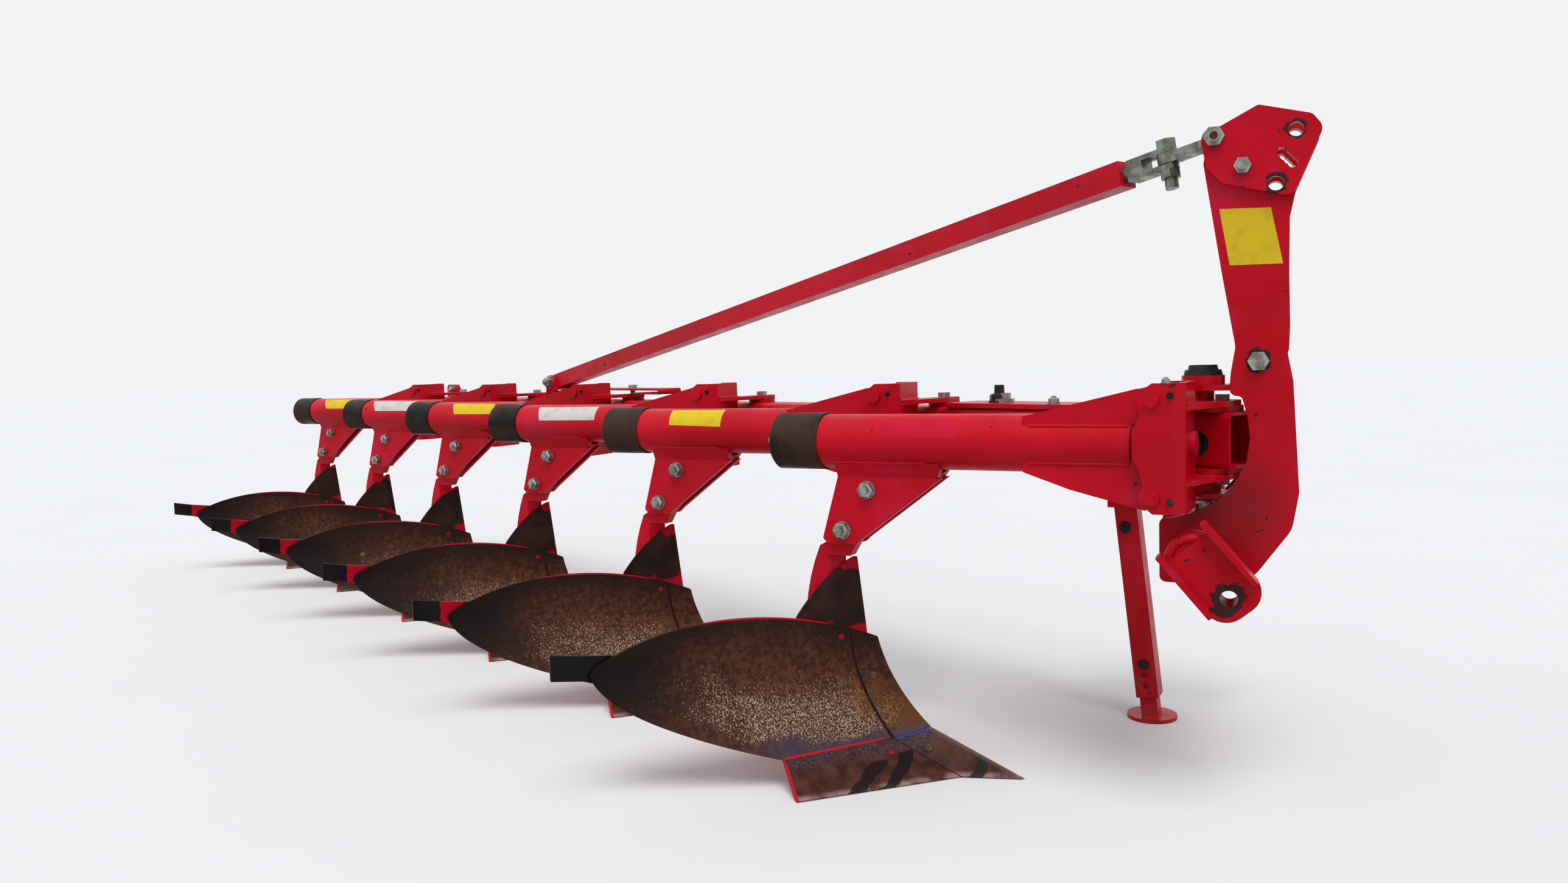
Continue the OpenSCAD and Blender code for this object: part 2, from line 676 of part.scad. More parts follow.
module share(k) {
    drop = [0, 0, face_gap];
    thick = sheet_back * share_t;
    color(steel) under_body(k) {
        wedge_plate(
            [[wing_low[0], wing_low[1], edge_blunt], [point_wing[0], point_wing[1], edge_blunt],
             joint_low - drop, wing_top - drop],
            [[wing_low[0] - 12, wing_low[1] + 12, 0], [point_wing[0] - 12, point_wing[1] + 12, 0],
             joint_low - drop + thick, wing_top - drop + thick]);
        wedge_plate(
            [[point_wing[0], point_wing[1], edge_blunt], [point_tip[0], point_tip[1], edge_blunt],
             shin_low - drop, joint_low - drop],
            [[point_wing[0] - 12, point_wing[1] + 12, 0], [point_tip[0] - 12, point_tip[1], 0],
             shin_low - drop + [-share_t, 0, 0], joint_low - drop + thick]);
    }
}

module shield(k) {
    color(steel) under_body(k) at_shield() translate([0, 0, -shield_t]) linear_extrude(shield_t)
        translate([0, shield_top]) polygon(concat([[0, -204], [100, -186], [150, -164], [188, -154]],
            [for (t = steps(8)) bez2([184, -140], [110, -36], [32, 0], t)], [[22, 0]]));
}

// The headstock, measured from the first pivot
cheek_in = mast_gap / 2 + mast_plate;
cheek_out = cheek_in + cheek_plate;
shaft_at = [-60, -246];
cheek_bolt = [71, 172];
stay_pin = [-17, 654];
mast_hole = [145, 656];
low_hole = [106, 547];
slot_ends = [[116, 610], [138, 586]];
plate_bolt = [40, 588];
big_bolt_d = 24;
small_bolt_d = 20;
hub_plate_t = 12;
disc_t = 21;
hub_top = 109;
hub_low = -131;
doubler_outline = rounded([[-46, 655, 20], [71, 713, 12], [175, 684, 20], [197, 655, 22],
    [138, 516, 20], [-1, 555, 30], [-32, 590, 20]]);

module hitch_holes() {
    for (h = [mast_hole, low_hole]) translate(h) circle(d = top_bore_d);
    for (t = steps(3)) translate(lerp(slot_ends[0], slot_ends[1], t)) circle(d = 20);
    translate(stay_pin) circle(d = big_bolt_d + 2 * face_gap);
    translate(plate_bolt) circle(d = small_bolt_d + 2 * face_gap);
}

module head_cheeks() {
    color(red) at_head() plate_pair(cheek_in, cheek_plate) difference() {
        polygon(rounded([[28, 219, 18], [80, 224, 40], [125, 208, 12], [140, 128, 60], [152, -112, 40],
            [138, -192, 60], [72, -284, 30], [40, -320, 10], [-134, -317, 14], [-134, -175, 14],
            [101, -142, 180], [38, 96, 10], [12, 99, 16], [16, 150, 60]]));
        translate(cheek_bolt) circle(d = big_bolt_d + 2 * face_gap);
        translate(shaft_at) circle(d = shaft_d + 2 * face_gap);
    }
}

module mast_plates() {
    foot = hub_top + hub_plate_t + face_gap;
    color(red) at_head() plate_pair(mast_gap / 2, mast_plate) difference() {
        polygon([[-39, 600], [-2, 363], [24, 211], [29, foot], [111, foot], [132, 196], [134, 248],
            [132, 355], [133, 475], [145, 532], [187, 659], [72, 706], [-28, 670]]);
        translate(cheek_bolt) circle(d = big_bolt_d + 2 * face_gap);
        hitch_holes();
    }
}

module mast_doublers() {
    color(red) at_head() plate_pair(cheek_in, cheek_plate) difference() {
        polygon(doubler_outline);
        hitch_holes();
    }
}

module mast_bolts() {
    color(zinc) at_head() {
        for (b = [cheek_bolt, stay_pin]) y_bolt(b[0], b[1], big_bolt_d, -cheek_out, cheek_out);
        y_bolt(plate_bolt[0], plate_bolt[1], small_bolt_d, -cheek_out, cheek_out);
        difference() {
            y_bar(plate_bolt[0], plate_bolt[1], small_bolt_d / 2 + 8,
                -mast_gap / 2 + face_gap, mast_gap / 2 - face_gap);
            y_bar(plate_bolt[0], plate_bolt[1], small_bolt_d / 2 + face_gap, -mast_gap, mast_gap);
        }
    }
}

// The upright hub that the headstock swings on
module head_hub() {
    half = cheek_in - face_gap;
    nut_top = -clamp_z - clamp_plate - pivot_nut - 2;
    color(red) at_head() {
        for (plate = [[hub_top, 50], [hub_low, 36]]) translate([0, 0, plate[0]])
            linear_extrude(hub_plate_t) union() {
                translate(hub) circle(r = plate[1]);
                translate([hub[0], -half]) square([74 - hub[0], 2 * half]);
            }
        translate([hub[0], hub[1], 0]) {
            translate([0, 0, hub_low]) cylinder(d = hub_pin_d, h = hub_top + hub_plate_t - hub_low);
            translate([0, 0, hub_top + hub_plate_t]) cylinder(r = 46, h = disc_t);
            translate([0, 0, hub_low + hub_plate_t]) hex(1.35 * hub_pin_d, nut_top - hub_low - hub_plate_t);
            translate([0, 0, nut_top]) cylinder(d = hub_pin_d + 8, h = -clamp_z - clamp_plate - face_gap - nut_top);
        }
    }
    color(zinc) at_head() translate([hub[0], hub[1], hub_low - 8]) {
        cylinder(r = 35, h = 8 + over);
        translate([0, 0, -30]) hex(54, 31);
    }
}

module hub_cap() {
    base = hub_top + hub_plate_t + disc_t + face_gap;
    color(dark) at_head() translate([hub[0], hub[1], base]) {
        cylinder(r1 = 42, r2 = 39, h = 12);
        translate([0, 0, 12]) cylinder(r1 = 33, r2 = 30, h = 11);
    }
}

module cross_shaft() {
    reach = hitch_spread / 2 - arm_web / 2;
    color(red) at_head() y_bar(shaft_at[0], shaft_at[1], shaft_d / 2, shaft_shift - reach, shaft_shift + reach);
}

// The lower hitch arms: channels whose flanges point outward, with a boss behind the hitch hole
arm_half = 63;
arm_mid = 14;
arm_back = -52;
arm_length = 152;
flange_t = 11;
flange_w = 36;
hitch_hole = [107, 6];
hitch_boss = [29, 84];

module arm_web_outline() {
    polygon(rounded([[-28, arm_mid - arm_half, 0], [arm_length, arm_mid - arm_half, 48],
        [arm_length, arm_mid + arm_half, 48], [-28, arm_mid + arm_half, 0]]));
}

module hitch_arms() {
    half = arm_web / 2;
    color(red) at_head() for (s = [-1, 1])
        translate([shaft_at[0], shaft_shift + s * hitch_spread / 2, shaft_at[1]]) rotate([0, arm_drop, 0])
            mirror([0, s > 0 ? 0 : 1, 0]) difference() {
                union() {
                    side_plate(-half, half) arm_web_outline();
                    for (z = [arm_mid - arm_half, arm_mid + arm_half - flange_t]) side_plate(-half, half + flange_w)
                        translate([arm_back, z]) square([arm_length - 40 - arm_back, flange_t]);
                    y_bar(hitch_hole[0], hitch_hole[1], hitch_boss[0], -half - hitch_boss[1], 0);
                }
                y_bar(hitch_hole[0], hitch_hole[1], lower_bore_d / 2, -half - 2 * hitch_boss[1], 2 * flange_w);
            }
}

// The stay, from its foot on the beam up to the mast; X runs along it from the foot
stay_level = stay_foot[0] - head_turn([stay_pin[0], 0]) * unit(step);
stay_rise = atan2(stay_pin[1] - stay_foot[1], stay_level);
stay_run = norm([stay_pin[1] - stay_foot[1], stay_level]);
fork_back = 119;
fork_gap = 13.3;
fork_half = 25;

module at_stay(along) {
    at_beam(stay_foot[0]) translate([0, 0, stay_foot[1]]) rotate([0, 180 + stay_rise, 0])
        translate([along, 0, 0]) children();
}

module stay_bar() {
    end = stay_run - fork_back - 112;
    color(red) difference() {
        at_stay(0) union() {
            square_tube(-34, end, stay_tube, stay_wall);
            translate([end - stay_wall, -stay_tube / 2, -stay_tube / 2]) cube([stay_wall, stay_tube, stay_tube]);
        }
        at_stay(0) y_bar(0, 0, stay_bolt_d / 2 + face_gap, -stay_tube, stay_tube);
    }
}

module prong_outline() {
    translate([-80, -22]) square([80, 44]);
    circle(22);
}

module stay_eye() {
    color(zinc) {
        at_stay(stay_run - fork_back) {
            difference() {
                union() {
                    for (z = [-fork_half, fork_gap]) translate([0, 0, z]) linear_extrude(fork_half - fork_gap)
                        prong_outline();
                    translate([-96, -22, -fork_half]) cube([40, 44, 2 * fork_half]);
                    x_bar(0, 0, 20, -112, -90);
                }
                translate([0, 0, -60]) cylinder(d = fork_bolt_d + 2 * face_gap, h = 120);
            }
            translate([0, 0, -fork_half - 19]) cylinder(d = fork_bolt_d, h = 2 * fork_half + 19 + 44);
            for (z = [-fork_half - 19, fork_half]) translate([0, 0, z]) hex(42, 19);
            difference() {
                translate([0, 0, -fork_gap + 1.5]) linear_extrude(2 * fork_gap - 3) union() {
                    circle(24);
                    translate([0, -16]) square([fork_back - 24, 32]);
                }
                translate([0, 0, -60]) cylinder(d = fork_bolt_d + 2 * face_gap, h = 120);
            }
        }
        at_head() difference() {
            y_bar(stay_pin[0], stay_pin[1], 27, -mast_gap / 2 + face_gap, mast_gap / 2 - face_gap);
            y_bar(stay_pin[0], stay_pin[1], big_bolt_d / 2 + face_gap, -mast_gap, mast_gap);
        }
    }
}

// The stand: its carrier on the beam's far side, the leaning sleeve, the leg and the locking pin
stand_at = [483, 636];
stand_top = -90;
stand_bottom = 61;
stand_pin_z = 153;
stand_hole_step = 29.5;
leg_w = stand_sleeve_w - 2 * stand_wall - 2 * stand_clearance;

// Height of the beam's far face above Y = 0 at a place along X
function far_face(x) = pivot[1] - (x - pivot[0]) * tan(180 - beam_heading) + beam_width / 2 / abs(cos(beam_heading));
// Distance along the stand from its top to a height above the ground
function stand_down(z) = (stand_top - (ground + z)) / cos(stand_lean);

// Places a child at the stand's top, Z pointing down along it
module at_stand() {
    translate([stand_at[0] - 27, stand_at[1], tube_height + stand_top]) rotate([0, 180 - stand_lean, 0])
        children();
}

module stand_carrier() {
    near = stand_at[1] - stand_sleeve_w / 2;
    sleeve_end = stand_down(0) - stand_bottom;
    color(red) {
        at_stand() difference() {
            translate([0, 0, sleeve_end / 2]) cube([stand_sleeve_w, stand_sleeve_w, sleeve_end], center = true);
            translate([0, 0, sleeve_end / 2])
                cube([stand_sleeve_w - 2 * stand_wall, stand_sleeve_w - 2 * stand_wall, 2 * sleeve_end], center = true);
            for (i = [0:2]) translate([0, 0, stand_down(stand_pin_z) + i * stand_hole_step])
                rotate([90, 0, 0]) cylinder(d = stand_pin_d + 2 * face_gap, h = 2 * stand_sleeve_w, center = true);
        }
        translate([stand_at[0] - 58, near - 12, tube_height - 225]) cube([140, 12 + over, 235]);
        translate([0, 0, tube_height - 50]) linear_extrude(56)
            polygon([for (p = [[-20, 0], [44, 0], [44, 1], [-20, 1]]) let (x = stand_at[0] + p[0])
                [x, p[1] > 0 ? near - 6 : far_face(x) + 6]]);
        at_beam() translate([230, -beam_width / 2 - 12, -58]) cube([170, 12, 116]);
    }
}

module stand_leg() {
    top = stand_down(stand_pin_z) + stand_pin_d / 2 + face_gap;
    foot = stand_down(foot_plate);
    color(red) {
        at_stand() translate([-leg_w / 2, -leg_w / 2, top]) cube([leg_w, leg_w, foot - top + 2]);
        translate([stand_at[0] - 27 + sin(stand_lean) * stand_down(0), stand_at[1], 0])
            cylinder(r = foot_r, h = foot_plate);
    }
}

module stand_pin() {
    half = stand_sleeve_w / 2;
    color(dark) at_stand() translate([0, 0, stand_down(stand_pin_z)]) rotate([90, 0, 0]) {
        translate([0, 0, -half - 12]) cylinder(d = stand_pin_d, h = 2 * half + 24);
        translate([0, 0, half + face_gap]) cylinder(d = stand_pin_d + 12, h = 6);
    }
}

// Where the middle of the whole plough lies, so that it stands centred on the origin
front_x = pivot[0] + max([for (p = doubler_outline) head_turn([p[0], -cheek_out])[0]]);
rear_x = (body_count - 1) * step[0] + bar_end[0] + bar_t * sheet_back[0];
left_y = pivot[1] + (body_count - 1) * step[1] + beam_tail * sin(beam_heading)
    + beam_width / 2 * abs(cos(beam_heading));
right_y = bar_end[1];

translate([-(front_x + rear_x) / 2, -(left_y + right_y) / 2, 0]) {
    main_beam();
    nose_plates();
    beam_lugs();
    pivot_bolts();
    hinge_pins();
    head_cheeks();
    mast_plates();
    mast_doublers();
    mast_bolts();
    head_hub();
    hub_cap();
    cross_shaft();
    hitch_arms();
    stay_bar();
    stay_eye();
    stand_carrier();
    stand_leg();
    stand_pin();
    for (k = [1:body_count]) {
        bracket(k);
        arm(k);
        sleeve(k);
        shank(k);
        board(k);
        share(k);
        shield(k);
    }
}
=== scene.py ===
# %% [markdown]
# # A mounted moldboard plough
#
# The solid model comes in as a fixed frame, in metres: tubes, brackets, plates and shares already
# stand where they belong. This lesson gives every surface a finish, rebuilds the moldboards and
# shares as finer sheets, and adds what a solid model leaves out, such as nuts, weld beads and
# worn rings round the hitch holes. X points forward to the tractor, Y to the left and Z up.

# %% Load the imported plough
import math

import bpy
import bmesh
import numpy as np
from mathutils import Matrix, Vector


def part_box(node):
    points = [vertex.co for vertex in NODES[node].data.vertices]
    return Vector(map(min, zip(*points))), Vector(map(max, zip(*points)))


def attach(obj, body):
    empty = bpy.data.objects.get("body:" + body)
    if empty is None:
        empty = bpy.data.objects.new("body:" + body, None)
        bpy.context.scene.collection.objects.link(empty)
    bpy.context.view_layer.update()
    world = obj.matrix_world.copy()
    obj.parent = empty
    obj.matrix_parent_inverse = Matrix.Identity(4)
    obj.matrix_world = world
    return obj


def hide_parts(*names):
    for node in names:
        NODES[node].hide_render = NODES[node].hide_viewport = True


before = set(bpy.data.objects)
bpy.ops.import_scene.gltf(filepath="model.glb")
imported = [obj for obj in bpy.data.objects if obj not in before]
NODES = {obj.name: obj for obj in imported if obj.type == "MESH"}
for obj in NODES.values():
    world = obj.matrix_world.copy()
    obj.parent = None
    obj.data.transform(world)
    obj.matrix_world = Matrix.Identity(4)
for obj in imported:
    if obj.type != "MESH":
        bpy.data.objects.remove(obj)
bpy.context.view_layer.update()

# %% [markdown]
# The camera stands to the right of the plough, a little ahead of the first moldboard and about a
# metre up. A wide lens and a small roll give the photograph's strong perspective. Each of the
# three angles can be changed and seen alone.

# %% Aim the camera
CAMERA_AT = Vector((2.8692, -3.1957, 1.020))
YAW, PITCH, ROLL = math.radians(28.79), math.radians(4.22), math.radians(1.77)
FOCAL_PIXELS, PICTURE_WIDTH, SENSOR_WIDTH = 1860.0, 2576.0, 36.0


def camera_axes(yaw, pitch, roll):
    ahead = Vector((-math.sin(yaw) * math.cos(pitch), math.cos(yaw) * math.cos(pitch),
                    -math.sin(pitch)))
    right = Vector((math.cos(yaw), math.sin(yaw), 0.0))
    down = ahead.cross(right)
    turned_right = right * math.cos(roll) + down * math.sin(roll)
    turned_down = down * math.cos(roll) - right * math.sin(roll)
    return turned_right, -turned_down, -ahead


def into_scene(name, data):
    thing = bpy.data.objects.new(name, data)
    bpy.context.scene.collection.objects.link(thing)
    return thing


camera_data = bpy.data.cameras.new("view")
camera_data.sensor_width = SENSOR_WIDTH
camera_data.lens = FOCAL_PIXELS / PICTURE_WIDTH * SENSOR_WIDTH
camera = into_scene("view", camera_data)
camera_turn = Matrix(camera_axes(YAW, PITCH, ROLL)).transposed().to_4x4()
camera.matrix_world = Matrix.Translation(CAMERA_AT) @ camera_turn
bpy.context.scene.camera = camera
print("lens", round(camera_data.lens, 2), "mm")

# %% [markdown]
# Details are placed in millimetres on a body, along the beam or in the headstock. Three short
# functions turn such a place into one on the whole plough. It stands centred, so the first body's
# place is read from the hinge pins.

# %% Axes of the bodies, the beam and the headstock
BODIES = range(1, 7)
STEP = Vector((-0.780, 0.330, 0.0))
TUBE_HEIGHT = 810
PIN_FRONT, PIN_SIDE = 0.6885, 0.093
low_corner, high_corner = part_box("hinge_pins")
SHIFT = Vector((high_corner.x - PIN_FRONT, low_corner.y + PIN_SIDE, 0.0))
BEAM_TURN = Matrix.Rotation(math.atan2(STEP.y, STEP.x), 3, "Z")
HEAD_TURN = Matrix.Rotation(math.radians(6.3), 3, "Z")
PIVOT = Vector((781, 150, TUBE_HEIGHT))
HUB = BEAM_TURN @ Vector((47, 0, 0))
SHAFT, ARM_DROP, ARM_REACH, ARM_RISE = (-60, -246), math.radians(50), 107, 6
HITCH_HOLE = (SHAFT[0] + ARM_REACH * math.cos(ARM_DROP) + ARM_RISE * math.sin(ARM_DROP),
              SHAFT[1] - ARM_REACH * math.sin(ARM_DROP) + ARM_RISE * math.cos(ARM_DROP))
RIGHT, UP, DOWN = Vector((0, -1, 0)), Vector((0, 0, 1)), Vector((0, 0, -1))


def on_body(k, x, y, z):
    return SHIFT + STEP * (k - 1) + Vector((x, y, z + TUBE_HEIGHT)) / 1000


def on_beam(along, across, up):
    return SHIFT + (PIVOT + BEAM_TURN @ Vector((along, across, up))) / 1000


def on_head(x, y, z):
    return SHIFT + (PIVOT + HUB + HEAD_TURN @ (Vector((x, y, z)) - HUB)) / 1000


print("first body at", tuple(round(c, 4) for c in SHIFT))

# %% [markdown]
# With these helpers, each node is one line. *put* adds a node with its inputs, and *out* hands on
# its first output. The others find # the node tree through the socket that they are given.
# *between* makes a soft mask between two limits, *spread* stretches a value evenly, and
# *wandering* shifts a value to and fro by noise, so that a border isn't straight.

# %% Helpers for node trees
def put(tree, kind, wires=None, **settings):
    node = tree.nodes.new(kind)
    for key, value in settings.items():
        setattr(node, key, value)
    for key, value in (wires or {}).items():
        if isinstance(value, bpy.types.NodeSocket):
            tree.links.new(value, node.inputs[key])
        else:
            node.inputs[key].default_value = value
    return node


def out(tree, kind, wires=None, **settings):
    return put(tree, kind, wires, **settings).outputs[0]


def mix(amount, first, second):
    return put(amount.id_data, "ShaderNodeMix", {0: amount, 6: first, 7: second},
               data_type="RGBA").outputs[2]


def calc(how, first, second=0.0, third=0.0):
    return out(first.id_data, "ShaderNodeMath", {0: first, 1: second, 2: third}, operation=how)


def times(first, second):
    return calc("MULTIPLY", first, second)


def between(value, low, high, start=0.0, end=1.0):
    return out(value.id_data, "ShaderNodeMapRange", {0: value, 1: low, 2: high, 3: start, 4: end},
               interpolation_type="SMOOTHSTEP")


def spread(value, start, end, low=0.0, high=1.0):
    return out(value.id_data, "ShaderNodeMapRange", {0: value, 1: low, 2: high, 3: start, 4: end})


def noise_at(place, scale, detail=2.0, roughness=0.5):
    return out(place.id_data, "ShaderNodeTexNoise", {
        "Vector": place, "Scale": scale, "Detail": detail, "Roughness": roughness})


def wandering(value, wander, amount):
    return calc("MULTIPLY_ADD", calc("SUBTRACT", wander, 0.5), amount, value)


def rgb(red, green, blue):
    return (red, green, blue, 1.0)


print("a plain grey:", rgb(0.5, 0.5, 0.5))

# %% [markdown]
# An effect that comes back in many finishes is built once, as a node group with its own knobs. It
# reads a place and puts out one mask, and *use* sets it into a finish.

# %% Make and use a group
def new_group(name, inputs, outputs, kind="ShaderNodeTree"):
    group = bpy.data.node_groups.new(name, kind)
    for title, socket_kind, value in inputs:
        socket = group.interface.new_socket(title, in_out="INPUT",
                                            socket_type="NodeSocket" + socket_kind)
        if value is not None:
            socket.default_value = value
    for title, socket_kind in outputs:
        group.interface.new_socket(title, in_out="OUTPUT", socket_type="NodeSocket" + socket_kind)
    return (group, group.nodes.new("NodeGroupInput").outputs,
            group.nodes.new("NodeGroupOutput").inputs)


def effect(name, **knobs):
    """A knob that starts at None is a vector, and the others are numbers."""
    inputs = [(title, "Vector" if value is None else "Float", value)
              for title, value in knobs.items()]
    return new_group(name, [("Place", "Vector", None)] + inputs, [("Mask", "Float")])


def use(group, place, **knobs):
    return put(place.id_data, "ShaderNodeGroup", {"Place": place, **knobs},
               node_tree=group).outputs["Mask"]


print("groups so far:", len(bpy.data.node_groups))

# %% [markdown]
# *Clouds* is a wide, soft change of tone. *Worn edges* compares the true normal with a rounded
# one, which differ only near an edge. *Flecks* are small islands of noise. *Settled dust* grows
# towards the ground and on faces that look up. *Worn patch* is a ragged spot round a point.

# %% Build the shared effects
clouds, knobs, result = effect("clouds", Scale=3.0, Low=0.35, High=0.65)
noise = noise_at(knobs["Place"], knobs["Scale"], 4.0)
clouds.links.new(between(noise, knobs["Low"], knobs["High"]), result["Mask"])

worn_edges, knobs, result = effect("worn_edges", Width=0.004, Grain=60.0, Reach=0.5)
rounded = put(worn_edges, "ShaderNodeBevel", {"Radius": knobs["Width"]}, samples=4)
flat = put(worn_edges, "ShaderNodeNewGeometry")
turn = put(worn_edges, "ShaderNodeVectorMath", {0: rounded.outputs[0], 1: flat.outputs["Normal"]},
           operation="DOT_PRODUCT")
edge = between(turn.outputs["Value"], 0.995, 0.80)
noise = noise_at(knobs["Place"], knobs["Grain"], 5.0)
broken = calc("ADD", noise, calc("SUBTRACT", knobs["Reach"], 1.0))
mask = between(times(edge, broken), 0.02, 0.10)
worn_edges.links.new(mask, result["Mask"])

flecks, knobs, result = effect("flecks", Scale=200.0, Amount=0.5, Softness=0.05)
noise = noise_at(knobs["Place"], knobs["Scale"], 3.0, 0.6)
level = spread(knobs["Amount"], 0.80, 0.25)
soft = calc("ADD", level, knobs["Softness"])
flecks.links.new(between(noise, level, soft), result["Mask"])

settled_dust, knobs, result = effect("settled_dust", Height=0.3, Strength=0.5)
spot = put(settled_dust, "ShaderNodeSeparateXYZ", {0: knobs["Place"]})
low_down = spread(spot.outputs["Z"], 1.0, 0.0, 0.0, knobs["Height"])
normal = put(settled_dust, "ShaderNodeNewGeometry").outputs["Normal"]
facing = put(settled_dust, "ShaderNodeSeparateXYZ", {0: normal})
upward = between(facing.outputs["Z"], 0.2, 1.0, 0.0, 0.6)
patchy = between(noise_at(knobs["Place"], 14.0, 6.0), 0.35, 0.75)
both = times(calc("MAXIMUM", low_down, upward), patchy)
settled_dust.links.new(times(both, knobs["Strength"]), result["Mask"])

worn_patch, knobs, result = effect("worn_patch", Centre=None, Radius=0.03)
reach = put(worn_patch, "ShaderNodeVectorMath", {0: knobs["Place"], 1: knobs["Centre"]},
            operation="DISTANCE").outputs["Value"]
wobble = spread(noise_at(knobs["Place"], 55.0, 5.0), 0.72, 1.35, 0.25, 0.75)
limit = times(knobs["Radius"], wobble)
mask = between(calc("SUBTRACT", limit, reach), 0.0, 0.0025)
worn_patch.links.new(mask, result["Mask"])


def cloudy(place, scale, low, high):
    return use(clouds, place, Scale=scale, Low=low, High=high)


print("effects:", [g.name for g in (clouds, worn_edges, flecks, settled_dust, worn_patch)])

# %% [markdown]
# Every finish starts with a Principled shader and Object coordinates, which are the plough's own
# metres, so a pattern keeps its real size and stays on the surface.

# %% Start a finish
def finish(name, roughness=0.5, metallic=0.0, shine=0.10):
    material = bpy.data.materials.new(name)
    material.use_nodes = True
    tree = material.node_tree
    shader = tree.nodes["Principled BSDF"]
    shader.inputs["Roughness"].default_value = roughness
    shader.inputs["Metallic"].default_value = metallic
    shader.inputs["Specular IOR Level"].default_value = shine
    place = put(tree, "ShaderNodeTexCoord").outputs["Object"]
    return material, shader, place


def wire(value, shader, socket):
    value.id_data.links.new(value, shader.inputs[socket])


def bump(shader, height, depth):
    node = put(height.id_data, "ShaderNodeBump", {"Height": height, "Distance": depth})
    wire(node.outputs[0], shader, "Normal")


print("finishes so far:", len(bpy.data.materials))

# %% [markdown]
# The plough is one strong red, but broad faces have faded a little, dust lies on them, and along
# the edges the paint is knocked off down to dark primer. It lies thick, so its bump is a fine
# orange peel.

# %% Red paint
DEEP_RED, BRIGHT_RED = rgb(0.48, 0.0010, 0.0085), rgb(0.64, 0.0020, 0.0190)
FADED_RED, YARD_DUST = rgb(0.58, 0.020, 0.082), rgb(0.26, 0.075, 0.060)
# The first is a darker red for two spots on the cheek, the second the primer under worn paint.
DARK_SPOT_RED, PRIMER = rgb(0.12, 0.012, 0.012), rgb(0.048, 0.016, 0.017)


def red_paint(name, wear=0.46, dull=0.0, chips=0.20, dust=0.30, patches=(), dark_spots=()):
    material, shader, place = finish(name, roughness=0.36, shine=0.14)
    tone = cloudy(place, 2.2, 0.3, 0.7)
    colour = mix(tone, DEEP_RED, BRIGHT_RED)
    faded = cloudy(place, 7.0, 0.52, 0.82)
    colour = mix(times(faded, 0.50 + dull), colour, FADED_RED)
    grime = use(settled_dust, place, Height=0.45, Strength=dust)
    colour = mix(grime, colour, YARD_DUST)
    edge = use(worn_edges, place, Width=0.0030, Grain=45.0, Reach=wear)
    chip = use(flecks, place, Scale=38.0, Amount=chips, Softness=0.02)
    bare = calc("MAXIMUM", edge, chip)
    for centre, radius in patches:
        worn = use(worn_patch, place, Centre=tuple(centre), Radius=radius)
        bare = calc("MAXIMUM", bare, worn)
    # Each given spot is made darker towards its middle.
    for centre, radius in dark_spots:
        away = put(place.id_data, "ShaderNodeVectorMath", {0: place, 1: tuple(centre)},
                   operation="DISTANCE").outputs["Value"]
        darkened = times(between(away, radius, radius * 0.2), 0.6)
        colour = mix(darkened, colour, DARK_SPOT_RED)
    wire(mix(bare, colour, PRIMER), shader, "Base Color")
    rough = cloudy(place, 18.0, 0.3, 0.8)
    base = spread(rough, 0.30 + dull, 0.46 + dull)
    wire(calc("MAXIMUM", base, times(bare, 0.7)), shader, "Roughness")
    peel, dents = noise_at(place, 160.0), noise_at(place, 9.0)
    height = calc("ADD", times(peel, 0.35), times(dents, 0.8))
    bump(shader, calc("SUBTRACT", height, times(bare, 0.5)), 0.0010)
    return material


paint = red_paint("red_paint")
stand_paint = red_paint("red_paint_stand", wear=0.55, chips=0.22, dust=0.55)
print(paint.name, len(paint.node_tree.nodes), "nodes")

# %% [markdown]
# Pins have rubbed ragged rings round the hitch holes and the mast's bolt, and the cheek is darker
# in two places. These spots are given in the headstock's own millimetres.

# %% Worn and darker spots
MAST_FACE, ARM_FACE = -64, -200
MAST_SPOTS = [(on_head(x, MAST_FACE, z), radius)
              for x, z, radius in ((145, 656, 0.0225), (106, 547, 0.0225), (71, 172, 0.026))]
ARM_SPOTS = [(on_head(HITCH_HOLE[0] + x, ARM_FACE, HITCH_HOLE[1] + z), radius)
             for x, z, radius in ((0, 4, 0.034), (-12, -16, 0.024))]
# Two spots on the cheek that are made darker.
DARK_SPOT_PLACES = [(on_head(x, MAST_FACE, z), radius)
              for x, z, radius in ((20, -150, 0.17), (-60, -110, 0.12))]
head_paint = red_paint("red_paint_headstock", chips=0.22, patches=MAST_SPOTS + ARM_SPOTS,
                       dark_spots=DARK_SPOT_PLACES)
arm_paint = red_paint("red_paint_hitch", wear=0.62, dull=0.05, chips=0.26, patches=ARM_SPOTS)
print("worn spots:", len(MAST_SPOTS + ARM_SPOTS), "and sooty spots:", len(DARK_SPOT_PLACES))

# %% [markdown]
# Bolts are zinc-plated: bright, a little yellowish, and duller in the hollows. The stay's end at
# the mast is galvanised, which is greyer.

# %% Plated steel
def plated_steel(name, colour, brown, amount):
    material, shader, place = finish(name, roughness=0.34, metallic=0.85)
    tone = cloudy(place, 45.0, 0.38, 0.66)
    shade = mix(times(tone, amount), colour, brown)
    wire(shade, shader, "Base Color")
    wire(spread(tone, 0.26, 0.55), shader, "Roughness")
    bump(shader, noise_at(place, 400.0), 0.0003)
    return material


zinc = plated_steel("zinc_plate", rgb(0.36, 0.37, 0.35), rgb(0.14, 0.12, 0.09), 0.75)
galvanised = plated_steel("galvanised", rgb(0.20, 0.22, 0.185), rgb(0.10, 0.095, 0.070), 0.8)
print("plated:", zinc.name, "and", galvanised.name)

# %% [markdown]
# The sleeves over the tubes' ends have been scorched and scuffed: brown shows through black in
# long patches. The hub's cap and the stand's pin are a plainer black.

# %% Dark sleeves and black caps
SCUFFED, DRY_SOIL = rgb(0.14, 0.11, 0.09), rgb(0.20, 0.17, 0.14)


